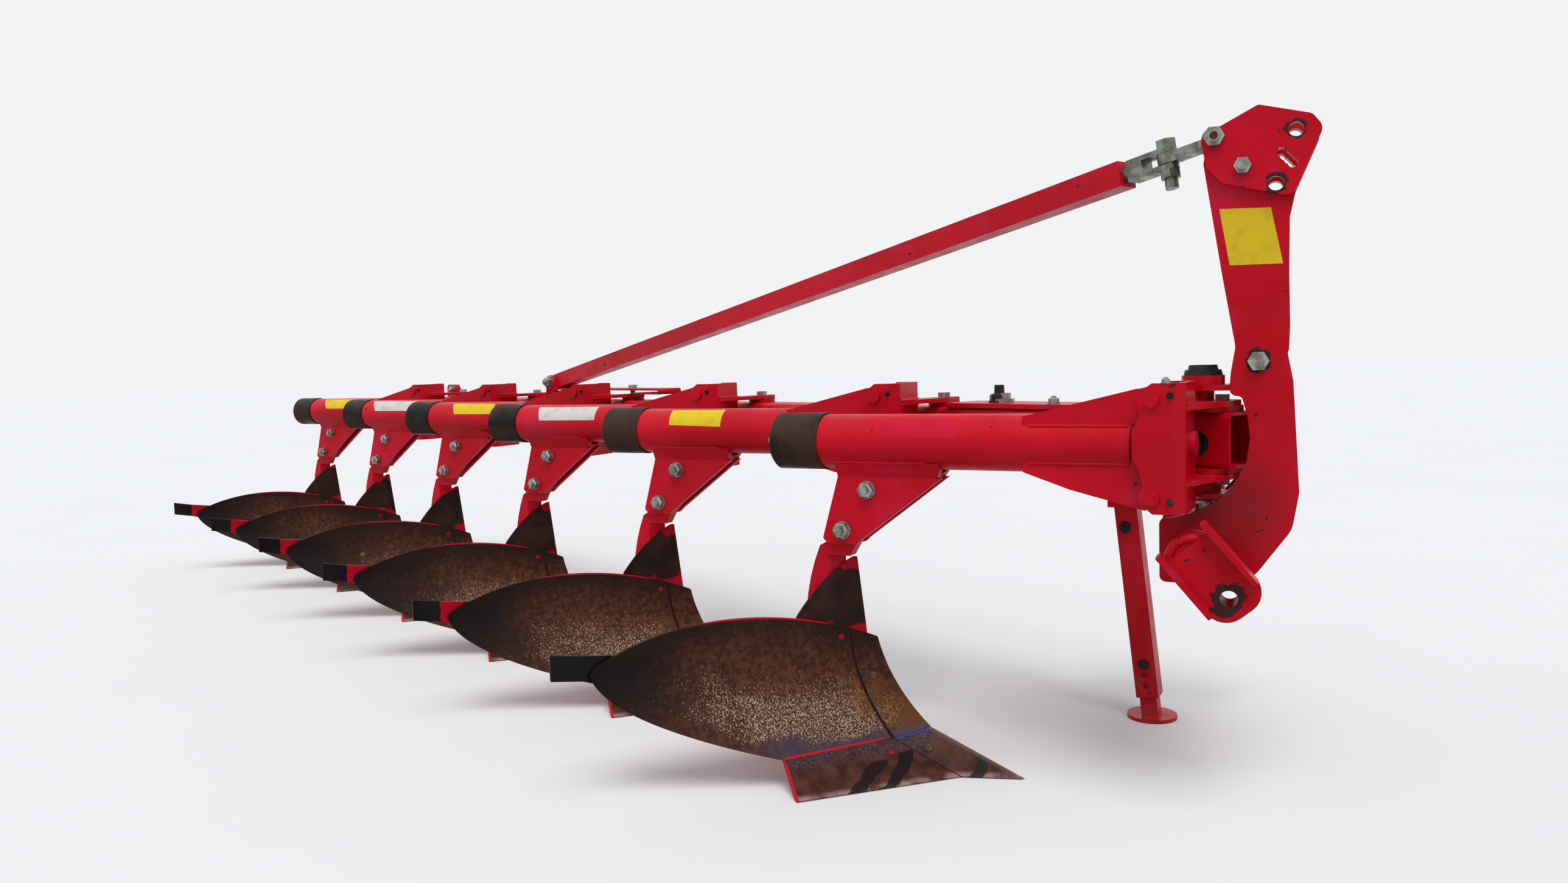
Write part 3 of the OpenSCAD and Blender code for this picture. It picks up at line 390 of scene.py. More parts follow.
def dark_finish(name, first, second, patches, roughness, dusty=0.12):
    material, shader, place = finish(name, roughness=roughness)
    tone = cloudy(place, 9.0, 0.42, 0.62)
    colour = mix(times(tone, patches), first, second)
    edge = use(worn_edges, place, Width=0.003, Grain=70.0, Reach=0.5)
    colour = mix(times(edge, 0.5), colour, SCUFFED)
    dust = use(settled_dust, place, Height=0.2, Strength=dusty)
    wire(mix(dust, colour, DRY_SOIL), shader, "Base Color")
    wire(spread(tone, roughness - 0.12, roughness + 0.15), shader, "Roughness")
    bump(shader, noise_at(place, 120.0, 4.0), 0.0006)
    return material


sleeve_dark = dark_finish("sleeve_dark", rgb(0.0075, 0.0058, 0.0058), rgb(0.058, 0.029, 0.019),
                          0.85, 0.45)
black = dark_finish("black_cap", rgb(0.014, 0.014, 0.016), rgb(0.035, 0.033, 0.035), 0.6, 0.40)
print("dark:", sleeve_dark.name, "and", black.name)

# %% [markdown]
# The trash boards are nearly black with old soil. Red paint is left along their lower edge and at
# their upper corner, at the same heights on every body.

# %% Trash board steel
BLACK_SOIL, BROWN_SOIL = rgb(0.016, 0.007, 0.006), rgb(0.040, 0.017, 0.012)
RED_BELOW, RED_ABOVE, OLD_RED = (0.350, 0.330), (0.492, 0.500), rgb(0.50, 0.005, 0.016)


def soiled_steel(name):
    material, shader, place = finish(name, roughness=0.6)
    tone = cloudy(place, 14.0, 0.35, 0.70)
    colour = mix(tone, BLACK_SOIL, BROWN_SOIL)
    height = put(place.id_data, "ShaderNodeSeparateXYZ", {0: place}).outputs["Z"]
    level = wandering(height, noise_at(place, 16.0, 4.0), 0.14)
    red = calc("MAXIMUM", between(level, *RED_BELOW), between(level, *RED_ABOVE))
    wire(mix(red, colour, OLD_RED), shader, "Base Color")
    bump(shader, noise_at(place, 220.0, 4.0), 0.0006)
    return material


shield_steel = soiled_steel("trash_board_steel")
print("red is left below", RED_BELOW[1], "m and above", RED_ABOVE[1], "m")

# %% [markdown]
# Each CAD node keeps its shape and only takes a finish, from a table of name beginnings. The
# first that fits counts, so longer names come first.

# %% Dress the solid model
FINISHES = {"hub_cap": black, "stand_pin": black, "sleeve_": sleeve_dark, "mast_bolts": zinc,
            "pivot_bolts": zinc, "shield_": shield_steel, "stay_eye": galvanised,
            "stand_": stand_paint, "head_cheeks": head_paint, "mast_": head_paint,
            "hitch_arms": arm_paint}


def dress(node_object, material):
    node_object.data.materials.clear()
    node_object.data.materials.append(material)


for node_name, node_object in NODES.items():
    match = [m for start, m in FINISHES.items() if node_name.startswith(start)]
    dress(node_object, match[0] if match else paint)
print("dressed", len(NODES), "nodes")

# %% [markdown]
# The floor is a plain pale sheet. What it bounces back onto the plough is as dim as a yard's
# paving, so that the undersides stay dark.

# %% Floor
FLOOR_HALF, FLOOR_COLOUR, BOUNCE = 60.0, (0.805, 0.81, 0.81), rgb(0.42, 0.41, 0.40)


def make_plane(name, half, colour):
    mesh = bpy.data.meshes.new(name)
    corners = [(-half, -half, 0), (half, -half, 0), (half, half, 0), (-half, half, 0)]
    mesh.from_pydata(corners, [], [(0, 1, 2, 3)])
    plane = into_scene(name, mesh)
    material, shader, place = finish(name, roughness=0.9)
    tone = cloudy(place, 0.8, 0.2, 0.8)
    plain = mix(tone, rgb(*colour), rgb(*(c * 0.98 for c in colour)))
    bounced = put(place.id_data, "ShaderNodeLightPath").outputs["Is Diffuse Ray"]
    wire(mix(bounced, plain, BOUNCE), shader, "Base Color")
    mesh.materials.append(material)
    return plane


floor = make_plane("floor", FLOOR_HALF, FLOOR_COLOUR)
print("floor", 2 * FLOOR_HALF, "m wide")

# %% [markdown]
# The light is soft: an even sky, one wide sun high in front of the plough, and a weaker one from
# behind. The sky shows white to the camera and in reflections, but lights the plough at a plain
# level.

# %% Light
SKY_COLOUR, SKY_LEVEL = rgb(0.92, 0.95, 1.0), 0.54
BACKDROP_COLOUR, BACKDROP_LEVEL = rgb(0.93, 0.94, 0.95), 0.95
# name, direction, spread in degrees, strength
SUNS = (("key", (-0.30, 0.44, -1.0), 35.0, 1.85), ("fill", (0.7, 0.45, -0.6), 60.0, 0.40))

world = bpy.data.worlds.new("studio")
bpy.context.scene.world = world
world.use_nodes = True
sky = world.node_tree
sky.nodes.clear()
rays = put(sky, "ShaderNodeLightPath")
seen = calc("MAXIMUM", rays.outputs["Is Glossy Ray"], rays.outputs["Is Transmission Ray"])
seen = calc("MAXIMUM", rays.outputs["Is Camera Ray"], seen)
lighting = put(sky, "ShaderNodeBackground", {"Color": SKY_COLOUR, "Strength": SKY_LEVEL})
backdrop = put(sky, "ShaderNodeBackground", {"Color": BACKDROP_COLOUR, "Strength": BACKDROP_LEVEL})
mixed = put(sky, "ShaderNodeMixShader", {0: seen, 1: lighting.outputs[0], 2: backdrop.outputs[0]})
put(sky, "ShaderNodeOutputWorld", {0: mixed.outputs[0]})
for name, direction, wide, strength in SUNS:
    lamp = into_scene(name, bpy.data.lights.new(name, "SUN"))
    lamp.data.angle = math.radians(wide)
    lamp.data.energy = strength
    lamp.rotation_euler = Vector(direction).to_track_quat("-Z", "Y").to_euler()
bpy.context.scene.view_settings.view_transform = "Standard"
print("suns:", [sun[0] for sun in SUNS])

# %% [markdown]
# ## The moldboards
# The moldboard is the plough's finest shape: a hollow sheet that starts upright at the shin,
# twists as it runs back, and leans over at its tail to turn the soil. Its outline is two curves
# that meet at the tail, and the points between them are bulged backwards, most in the middle. The
# same rule made the solid model, with few faces. Along the board a point's place is u, from shin
# to tail, and up the board it is w.

# %% The moldboard's rule
LAND_Y = 0.040
SHIN_LOW, SHIN_MID = np.array((0.117, LAND_Y, 0.099)), np.array((0.009, LAND_Y, 0.194))
SHIN_TOP, TAIL = np.array((-0.022, LAND_Y, 0.314)), np.array((-0.508, -0.502, 0.308))
JOINT_LOW, WING_TOP = np.array((0.031, -0.004, 0.073)), np.array((-0.147, -0.245, 0.069))
TOP_PULL = np.array((-0.210, -0.096, 0.410)), np.array((-0.410, -0.320, 0.418))
LOW_PULL = np.array((-0.300, -0.350, 0.118)), np.array((-0.500, -0.497, 0.210))
JOINT_U, WING_U, TAIL_U = 0.10, 0.40, 0.985
BACK = np.array((-0.8, 0.6, 0.0))
BOARD_THICK, SAG = 0.009, 0.036


def bend(points, t):
    while len(points) > 1:
        points = [a + (b - a) * t for a, b in zip(points, points[1:])]
    return points[0]


def top_edge(u):
    return bend([SHIN_TOP, *TOP_PULL, TAIL], u)


def low_edge(u):
    if u < JOINT_U:
        return bend([SHIN_LOW, JOINT_LOW], u / JOINT_U)
    if u < WING_U:
        return bend([JOINT_LOW, WING_TOP], (u - JOINT_U) / (WING_U - JOINT_U))
    return bend([WING_TOP, *LOW_PULL, TAIL], (u - WING_U) / (1 - WING_U))


def board_point(u, w):
    shin = bend([SHIN_LOW, SHIN_MID, SHIN_TOP], w) - bend([SHIN_LOW, SHIN_TOP], w)
    sag = SAG * math.sin(math.pi * u ** 0.6) * 4 * w * (1 - w)
    return bend([low_edge(u), top_edge(u)], w) + shin * (1 - u) ** 3 + BACK * sag


def back_way(u):
    if u >= JOINT_U:
        return BACK
    way = bend([np.array((-1.0, 0.0, 0.0)), BACK], u / JOINT_U)
    return way / np.linalg.norm(way)


print("the middle of a board lies at", board_point(0.5, 0.5).round(3))

# %% [markdown]
# A thick sheet is two grids of points, front and back, with a strip of faces round the rim. The
# front takes the first finish, the back the second, and *rim_kind* says which the rim takes. Each
# point keeps two numbers, *along* and *rise*, for a finish to follow.

# %% Make a thick sheet from two grids
def face_outward(mesh):
    work = bmesh.new()
    work.from_mesh(mesh)
    bmesh.ops.recalc_face_normals(work, faces=work.faces)
    work.to_mesh(mesh)
    work.free()
    mesh.update()


def sheet_mesh(name, front, back, uv, rim_kind):
    rings, rows = len(front), len(front[0])
    count = rings * rows
    points = [p for ring in front for p in ring] + [p for ring in back for p in ring]
    faces, kinds = [], []
    for i in range(rings - 1):
        for j in range(rows - 1):
            a, b = i * rows + j, (i + 1) * rows + j
            c, d = b + 1, a + 1
            faces += [(a, b, c, d), (count + a, count + d, count + c, count + b)]
            kinds += [0, 1]
    rim = [i * rows for i in range(rings)] + [(rings - 1) * rows + j for j in range(1, rows)]
    rim += [i * rows + rows - 1 for i in range(rings - 2, -1, -1)] + list(range(rows - 2, 0, -1))
    for a, b in zip(rim, rim[1:] + rim[:1]):
        faces.append((a, count + a, count + b, b))
        kinds.append(rim_kind)
    mesh = bpy.data.meshes.new(name)
    mesh.from_pydata([tuple(p) for p in points], [], faces)
    mesh.polygons.foreach_set("material_index", kinds)
    for title, column in (("along", 0), ("rise", 1)):
        values = [pair[column] for ring in uv for pair in ring]
        mesh.attributes.new(title, "FLOAT", "POINT").data.foreach_set("value", values * 2)
    return mesh


print("a sheet of two grids takes two finishes")

# %% [markdown]
# No real plate has a knife edge, so a Bevel modifier rounds the rim. It is applied at once, so
# that the piece is a plain mesh. Only true corners are shaded sharp.

# %% Round a sheet and keep it as a plain piece
RIM_ANGLE, CORNER_ANGLE, RIM_ROUND = math.radians(40), math.radians(45), 0.0015


def thick_sheet(name, front, back, uv, materials, bevel=RIM_ROUND, rim_kind=1):
    mesh = sheet_mesh(name, front, back, uv, rim_kind)
    for material in materials:
        mesh.materials.append(material)
    face_outward(mesh)
    piece = into_scene(name, mesh)
    if bevel:
        rounding = piece.modifiers.new("rounding", "BEVEL")
        rounding.width, rounding.segments, rounding.limit_method = bevel, 2, "ANGLE"
        rounding.angle_limit = RIM_ANGLE
    mesh.shade_smooth()
    mesh.set_sharp_from_angle(angle=CORNER_ANGLE)
    return piece


def applied(piece):
    graph = bpy.context.evaluated_depsgraph_get()
    mesh = bpy.data.meshes.new_from_object(piece.evaluated_get(graph), depsgraph=graph,
                                           preserve_all_data_layers=True)
    piece.modifiers.clear()
    piece.data = mesh
    return piece


def join_pieces(name, pieces):
    target = pieces[0]
    with bpy.context.temp_override(active_object=target, object=target, selected_objects=pieces,
                                   selected_editable_objects=pieces):
        bpy.ops.object.join()
    target.name = name
    return target


print("rims are rounded by", RIM_ROUND * 1000, "mm")

# %% [markdown]
# The boards' tail and top stay nearly black with old soil, the middle is rust brown, and the shin
# is more golden. The colour follows u and w, so it is the same on every body.

# %% Rust and old soil
DARK_RUST, LIGHT_RUST = rgb(0.040, 0.013, 0.008), rgb(0.098, 0.034, 0.018)
SHIN_RUST, TAIL_SOIL = rgb(0.150, 0.060, 0.016), rgb(0.0090, 0.0052, 0.0056)
TOP_SOIL = rgb(0.018, 0.010, 0.008)


def kept(place, title):
    return put(place.id_data, "ShaderNodeAttribute", attribute_name=title).outputs["Fac"]


def rust_and_soil(place, u, w):
    rust_tone = cloudy(place, 62.0, 0.36, 0.68)
    rust = mix(rust_tone, DARK_RUST, LIGHT_RUST)
    shin_glow = times(between(u, 0.18, 0.06), between(w, 0.66, 0.34))
    rust = mix(times(shin_glow, 0.8), rust, SHIN_RUST)
    rust = mix(between(u, 0.84, 0.42), TAIL_SOIL, rust)
    return mix(between(w, 0.66, 1.02), rust, TOP_SOIL)


print("rust runs from", DARK_RUST[:3], "to", LIGHT_RUST[:3])

# %% [markdown]
# Where the furrow slice presses hardest, low and in the middle, the rust is flecked with ivory
# and gold: dull flecks nearly everywhere, and bright ones whose amount follows the place on the
# board. The grain is stretched upwards a little.

# %% Flecks of gold and ivory
DULL_GOLD, IVORY = rgb(0.24, 0.125, 0.050), rgb(0.47, 0.36, 0.24)
SHIN_GOLD, RUST_FLECK = rgb(0.28, 0.135, 0.040), rgb(0.135, 0.056, 0.030)
GRAIN_STRETCH = (1.0, 1.0, 0.50)


def scoured_flecks(place, u, w, rust):
    middle = times(between(u, 0.80, 0.40), between(u, 0.04, 0.14))
    low_part = times(between(w, 1.0, 0.30), between(w, 0.00, 0.12))
    amount = spread(times(middle, low_part), 0.14, 0.53)
    grain = out(place.id_data, "ShaderNodeMapping", {"Vector": place, "Scale": GRAIN_STRETCH})
    bright = use(flecks, grain, Scale=300.0, Amount=amount, Softness=0.06)
    gold = mix(between(w, 0.62, 0.25), DULL_GOLD, IVORY)
    gold = mix(between(u, 0.22, 0.10), gold, SHIN_GOLD)
    rusty = use(flecks, grain, Scale=360.0, Amount=0.42, Softness=0.10)
    lit = times(rusty, times(between(u, 0.95, 0.50), 0.60))
    rust = mix(lit, rust, RUST_FLECK)
    return mix(times(bright, 0.85), rust, gold), bright


print("the grain is stretched by", 1 / GRAIN_STRETCH[2])

# %% [markdown]
# Last come a blue-grey tint along the share, a dark seam between the shin and the board, and red
# paint left in a stripe over the wing and along the top rim.

# %% Soil-worn steel
BLUE_TINT, SEAM_DARK = rgb(0.050, 0.048, 0.085), rgb(0.022, 0.008, 0.014)
RED_LEFT = rgb(0.56, 0.004, 0.018)


def stretch_of(value, start, end):
    """A mask that is open between two places, each given as its two limits."""
    return times(between(value, *start), between(value, *end))


def soil_steel(name):
    material, shader, place = finish(name, roughness=0.55)
    along, rise = kept(place, "along"), kept(place, "rise")
    wander = noise_at(place, 6.0, 4.0)
    shift = times(calc("SUBTRACT", wander, 0.5), 0.45)
    u, w = calc("ADD", along, shift), calc("ADD", rise, shift)
    rust = rust_and_soil(place, u, w)
    colour, bright = scoured_flecks(place, u, w, rust)
    blue = times(between(w, 0.18, 0.02), between(u, 0.55, 0.25))
    colour = mix(times(blue, 0.6), colour, BLUE_TINT)
    off_seam = calc("ABSOLUTE", calc("SUBTRACT", along, JOINT_U))
    colour = mix(between(off_seam, 0.0065, 0.0030), colour, SEAM_DARK)
    stripe = times(between(rise, 0.016, 0.012), stretch_of(along, (0.12, 0.13), (0.41, 0.38)))
    stripe = times(stripe, between(wander, 0.36, 0.42))
    colour = mix(stripe, colour, RED_LEFT)
    rim = times(between(rise, 0.985, 0.992), stretch_of(along, (0.16, 0.20), (0.66, 0.46)))
    wire(mix(rim, colour, RED_LEFT), shader, "Base Color")
    wire(spread(bright, 0.60, 0.42), shader, "Roughness")
    pits = noise_at(place, 260.0, 4.0)
    bump(shader, calc("ADD", pits, times(wander, 2.0)), 0.0009)
    return material


board_steel = soil_steel("board_steel")
print(board_steel.name, len(board_steel.node_tree.nodes), "nodes")

# %% [markdown]
# A flat bar lies behind each tail and runs on past it, to press the slice over. Its height falls
# with the board's, so each column of its grid is found on the board at the bar's own level.

# %% The tail bar's shape
BAR_HEIGHT, BAR_THICK, BAR_GAP, BAR_ROUND = 0.060, 0.010, 0.0006, 0.002
BAR_END = np.array((-0.540, -0.600, 0.0))
BAR_U, BAR_REACH = 0.76, 0.18
BAR_LEVEL, BAR_LEVEL_Y, BAR_FALL = 0.313, -0.490, 0.23
TO_BAR = BACK * (BOARD_THICK + BAR_GAP)


def level_point(u, z):
    low, high = low_edge(u)[2], top_edge(u)[2]
    return board_point(u, (z - low) / (high - low))


def bar_middle(y):
    return BAR_LEVEL - (y - BAR_LEVEL_Y) * BAR_FALL


def bar_front(t, station):
    """A point of the bar's front. Past 1, station runs from the tail to the bar's free end."""
    rise = (t - 0.5) * BAR_HEIGHT
    if station <= 1:
        u = BAR_U + BAR_REACH * station
        return level_point(u, bar_middle(board_point(u, 0.5)[1]) + rise) + TO_BAR
    at = TAIL + (BAR_END - TO_BAR - TAIL) * (station - 1)
    return np.array((at[0], at[1], bar_middle(at[1]) + rise)) + TO_BAR


print("the bar's free end lies at", bar_front(0.5, 2.0).round(3))

# %% [markdown]
# The bars are black. All but the first have a band of red paint left next to the board, which is
# mixed over the plain black.

# %% Tail bar black
BAR_BLACK, BAR_BROWN = rgb(0.0065, 0.0060, 0.0070), rgb(0.017, 0.012, 0.011)
BAND_RED = rgb(0.50, 0.005, 0.020)


def bar_finish(name, banded):
    material = dark_finish(name, BAR_BLACK, BAR_BROWN, 0.7, 0.42, dusty=0.0)
    if banded:
        tree = material.node_tree
        shader = tree.nodes["Principled BSDF"]
        under = shader.inputs["Base Color"].links[0].from_socket
        place = put(tree, "ShaderNodeTexCoord").outputs["Object"]
        at = wandering(kept(place, "along"), noise_at(place, 40.0, 3.0), 0.10)
        band = stretch_of(at, (0.44, 0.46), (0.605, 0.585))
        wire(mix(band, under, BAND_RED), shader, "Base Color")
    return material


bar_black, bar_banded = bar_finish("bar_black", False), bar_finish("bar_black_banded", True)
print("bars:", bar_black.name, "and", bar_banded.name)

# %% [markdown]
# The shin and the board are two sheets made by the one rule, with a fine gap for the seam.
# Joined, they take the place of the plain solid board.

# %% Build the moldboards and their tail bars
SEAM_GAP = 0.0006
ROWS = [j / 24 for j in range(25)]
SHIN_US = [JOINT_U * i / 6 for i in range(6)] + [JOINT_U - SEAM_GAP]
BOARD_US = [JOINT_U + (WING_U - JOINT_U) * i / 20 for i in range(20)]
BOARD_US += [WING_U + (TAIL_U - WING_U) * i / 44 for i in range(45)]
STATIONS = [0.0, 0.33, 0.66, 1.0] + [1.0 + i / 6 for i in range(1, 7)]
BAR_ROWS = [0.0, 0.05, 0.2, 0.4, 0.6, 0.8, 0.95, 1.0]


def body_shift(k):
    return np.array(SHIFT + STEP * (k - 1))


def grid_of(us, k, depth):
    return [[board_point(u, w) + back_way(u) * depth + body_shift(k) for w in ROWS] for u in us]


for k in BODIES:
    sheets = []
    for part, us in (("shin", SHIN_US), ("board", BOARD_US)):
        uv = [[(u, w) for w in ROWS] for u in us]
        sheet = thick_sheet(f"{part}_{k}", grid_of(us, k, 0.0), grid_of(us, k, BOARD_THICK), uv,
                            [board_steel, paint], rim_kind=0)
        sheets.append(applied(sheet))
    moldboard = join_pieces(f"moldboard_{k}", sheets)
    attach(moldboard, f"body_{k}")
    front = [[bar_front(t, s) + body_shift(k) for t in BAR_ROWS] for s in STATIONS]
    back = [[p + BACK * BAR_THICK for p in ring] for ring in front]
    steel = bar_black if k == 1 else bar_banded
    uv = [[(station / 2, t) for t in BAR_ROWS] for station in STATIONS]
    bar = applied(thick_sheet(f"tail_bar_{k}", front, back, uv, [steel, steel], BAR_ROUND))
    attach(bar, f"body_{k}")
    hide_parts(f"board_{k}")
    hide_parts(f"board_{k}")

# %% [markdown]
# ## The shares
# A share is two flat plates: a wing, and a point that runs ahead of it. Both carry the same two
# numbers as the moldboard, so one finish can put the red end, the dark stains and the pale worn
# edge where they belong. A stain is a leaning bar of dirt that ends part of the way up.

# %% Share steel
SHARE_DARK, SHARE_LIGHT = rgb(0.038, 0.012, 0.009), rgb(0.085, 0.029, 0.019)
SHARE_GOLD, SHARE_BLUE = rgb(0.26, 0.18, 0.10), rgb(0.030, 0.030, 0.055)
EDGE_PALE, STAIN_DARK = rgb(0.34, 0.20, 0.18), rgb(0.0075, 0.0050, 0.0065)
WING_END_RED, WELD_BLUE = rgb(0.55, 0.004, 0.018), rgb(0.016, 0.060, 0.32)
JOINT_DARK, TIP_PALE = rgb(0.010, 0.010, 0.028), rgb(0.22, 0.12, 0.11)
# middle, lean, half width, top
WING_STAINS = ((0.65, 0.55, 0.065, 0.60), (0.46, 0.60, 0.055, 0.70))
POINT_STAINS = ((0.78, 1.75, 0.12, 0.50),)


def share_steel(name, wing):
    material, shader, place = finish(name, roughness=0.5)
    u, w = kept(place, "along"), kept(place, "rise")
    tone = cloudy(place, 26.0, 0.36, 0.66)
    colour = mix(tone, SHARE_DARK, SHARE_LIGHT)
    wander = noise_at(place, 22.0, 5.0)
    upper = between(w, 0.55, 0.95)
    grain = use(flecks, place, Scale=260.0, Amount=0.44, Softness=0.06)
    colour = mix(times(times(grain, upper), 0.7), colour, SHARE_GOLD)
    colour = mix(times(upper, 0.40), colour, SHARE_BLUE)
    pale = times(between(w, 0.16, 0.02), between(wander, 0.35, 0.65))
    colour = mix(pale, colour, EDGE_PALE)
    shifted = wandering(u, wander, 0.16)
    for middle, lean, half, top in WING_STAINS if wing else POINT_STAINS:
        leaning = calc("MULTIPLY_ADD", w, lean, shifted)
        off = calc("ABSOLUTE", calc("SUBTRACT", leaning, middle))
        stain = times(between(off, half, half * 0.8), between(w, top + 0.04, top - 0.04))
        colour = mix(times(stain, 0.92), colour, STAIN_DARK)
    if wing:
        end = between(wandering(u, wander, 0.02), 0.982, 0.988)
        colour = mix(end, colour, WING_END_RED)
    else:
        blue = times(between(w, 0.970, 0.984), between(wander, 0.38, 0.5))
        colour = mix(blue, colour, WELD_BLUE)
        colour = mix(between(u, 0.955, 0.975), colour, JOINT_DARK)
        tip = times(between(u, 0.20, 0.02), wander)
        colour = mix(tip, colour, TIP_PALE)
    wire(colour, shader, "Base Color")
    pits = noise_at(place, 240.0, 4.0)
    bump(shader, calc("ADD", pits, times(wander, 2.0)), 0.0008)
    return material


wing_steel, point_steel = share_steel("wing_steel", True), share_steel("point_steel", False)
print("share steels:", wing_steel.name, "and", point_steel.name)

# %% [markdown]
# Each plate is a flat grid between four corners. Its back lies closer to the front along the
# lower edge, which is sharpened from behind as on a real share.

# %% Build the shares
WING_LOW, POINT_WING = np.array((-0.079, -0.310, 0.003)), np.array((0.208, -0.009, 0.003))
POINT_TIP = np.array((0.354, LAND_Y, 0.003))
SHARE_THICK, SHARE_ROUND, COLUMNS, SHARE_ROWS = 0.010, 0.001, 28, 12
HEEL, TOE = np.array((-0.012, 0.012, -0.003)), np.array((-0.012, 0.0, -0.003))
THICK, SHIN_THICK = BACK * SHARE_THICK, np.array((-SHARE_THICK, 0.0, 0.0))
JOINT_DROP = np.array((0.0, 0.0, 0.0003))
WING_SEAT, JOINT_SEAT, SHIN_SEAT = (p - JOINT_DROP for p in (WING_TOP, JOINT_LOW, SHIN_LOW))
SHARE_UV = [[(i / COLUMNS, j / SHARE_ROWS) for j in range(SHARE_ROWS + 1)]
            for i in range(COLUMNS + 1)]


def flat_grid(low_start, low_end, top_end, top_start, shift):
    return [[bend([bend([low_start, low_end], u), bend([top_start, top_end], u)], w) + shift
             for u, w in column] for column in SHARE_UV]


def share_plate(name, front, back, steel):
    return applied(thick_sheet(name, front, back, SHARE_UV, [steel, steel], SHARE_ROUND))


for k in BODIES:
    move = body_shift(k)
    wing = share_plate(
        f"wing_{k}", flat_grid(POINT_WING, WING_LOW, WING_SEAT, JOINT_SEAT, move),
        flat_grid(POINT_WING + HEEL, WING_LOW + HEEL, WING_SEAT + THICK, JOINT_SEAT + THICK, move),
        wing_steel)
    point = share_plate(
        f"point_{k}", flat_grid(POINT_TIP, POINT_WING, JOINT_SEAT, SHIN_SEAT, move),
        flat_grid(POINT_TIP + TOE, POINT_WING + HEEL, JOINT_SEAT + THICK, SHIN_SEAT + SHIN_THICK,
                  move), point_steel)
    share = join_pieces(f"plough_share_{k}", [wing, point])
    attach(share, f"body_{k}")
    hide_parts(f"share_{k}")

# %% [markdown]
# ## Fasteners that repeat
# Nuts and bolt heads come from one group. It takes loose points, each with a direction and a
# size, and stands a washer, a chamfered hexagon and a stud on every one. A second group lays a
# round disc on each point.

# %% Geometry Nodes groups for nuts and discs
def geometry_group(name, knobs):
    return new_group(name, [("Geometry", "Geometry", None)] + knobs, [("Geometry", "Geometry")],
                     "GeometryNodeTree")


def ring_solid(group, sides, low_radius, top_radius, height, base=0.0):
    cone = put(group, "GeometryNodeMeshCone", {
        "Vertices": sides, "Side Segments": 1, "Fill Segments": 1,
        "Radius Top": top_radius, "Radius Bottom": low_radius, "Depth": height})
    lift = out(group, "ShaderNodeCombineXYZ", {2: base})
    return out(group, "GeometryNodeTransform", {"Geometry": cone.outputs["Mesh"],
                                                "Translation": lift})


def stand_on_points(group, knobs, result, shapes):
    joined = put(group, "GeometryNodeJoinGeometry")
    for shape in shapes:
        group.links.new(shape, joined.inputs[0])
    way = put(group, "GeometryNodeInputNamedAttribute", {"Name": "way"}, data_type="FLOAT_VECTOR")
    size = put(group, "GeometryNodeInputNamedAttribute", {"Name": "size"}, data_type="FLOAT")
    aim = out(group, "FunctionNodeAlignRotationToVector", {"Vector": way.outputs["Attribute"]},
              axis="Z")
    placed = out(group, "GeometryNodeInstanceOnPoints", {
        "Points": knobs["Geometry"], "Instance": joined.outputs[0],
        "Rotation": aim, "Scale": size.outputs["Attribute"]})
    solid = out(group, "GeometryNodeRealizeInstances", {"Geometry": placed})
    coloured = out(group, "GeometryNodeSetMaterial", {"Geometry": solid,
                                                      "Material": knobs["Finish"]})
    group.links.new(coloured, result[0])


WASHER_THICK, HEX_CORNER, HEX_TOP, CHAMFER = 0.10, 0.577, 0.47, 0.09
STUD_LOW, STUD_TOP, DISC_LOW, DISC_TOP, ROUND_SIDES = 0.30, 0.27, 0.50, 0.47, 28

nut_group, knobs, result = geometry_group("nuts", [
    ("Washer", "Float", 0.70), ("Height", "Float", 0.62), ("Stud", "Float", 0.25),
    ("Finish", "Material", None)])
hex_top = calc("ADD", knobs["Height"], WASHER_THICK)
stand_on_points(nut_group, knobs, result, [
    ring_solid(nut_group, ROUND_SIDES, knobs["Washer"], knobs["Washer"], WASHER_THICK),
    ring_solid(nut_group, 6, HEX_CORNER, HEX_CORNER, knobs["Height"], WASHER_THICK),
    ring_solid(nut_group, 6, HEX_CORNER, HEX_TOP, CHAMFER, hex_top),
    ring_solid(nut_group, 16, STUD_LOW, STUD_TOP, calc("ADD", knobs["Stud"], CHAMFER),
               hex_top)])

disc_group, knobs, result = geometry_group("discs", [
    ("Height", "Float", 0.05), ("Finish", "Material", None)])
stand_on_points(disc_group, knobs, result, [
    ring_solid(disc_group, ROUND_SIDES, DISC_LOW, DISC_TOP, knobs["Height"])])
print("geometry groups:", nut_group.name, disc_group.name)

# %% [markdown]
# A group's inputs are set by their identifiers, and its result is kept as a plain mesh, because
# the export drops instances.

# %% Grow a group on points
def grow(name, mesh, group, settings, body):
    piece = into_scene(name, mesh)
    modifier = piece.modifiers.new(group.name, "NODES")
    modifier.node_group = group
    for socket in group.interface.items_tree:
        if (socket.item_type == "SOCKET" and socket.in_out == "INPUT"
                and socket.name in settings):
            modifier[socket.identifier] = settings[socket.name]
    applied(piece)
    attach(piece, body)
    return piece


def point_mesh(name, points):
    mesh = bpy.data.meshes.new(name)
    mesh.from_pydata([tuple(place) for place, way, size in points], [], [])
    ways, sizes = [c for p in points for c in p[1]], [p[2] for p in points]
    mesh.attributes.new("way", "FLOAT_VECTOR", "POINT").data.foreach_set("vector", ways)
    mesh.attributes.new("size", "FLOAT", "POINT").data.foreach_set("value", sizes)
    return mesh


def set_nuts(name, points, washer, height, stud, steel, body):
    looks = {"Washer": washer, "Height": height, "Stud": stud, "Finish": steel}
    grow(name, point_mesh(name, points), nut_group, looks, body)


def set_discs(name, points, height, steel, body):
    looks = {"Height": height, "Finish": steel}
    grow(name, point_mesh(name, points), disc_group, looks, body)


print("a point keeps a place, a way to face and a size")

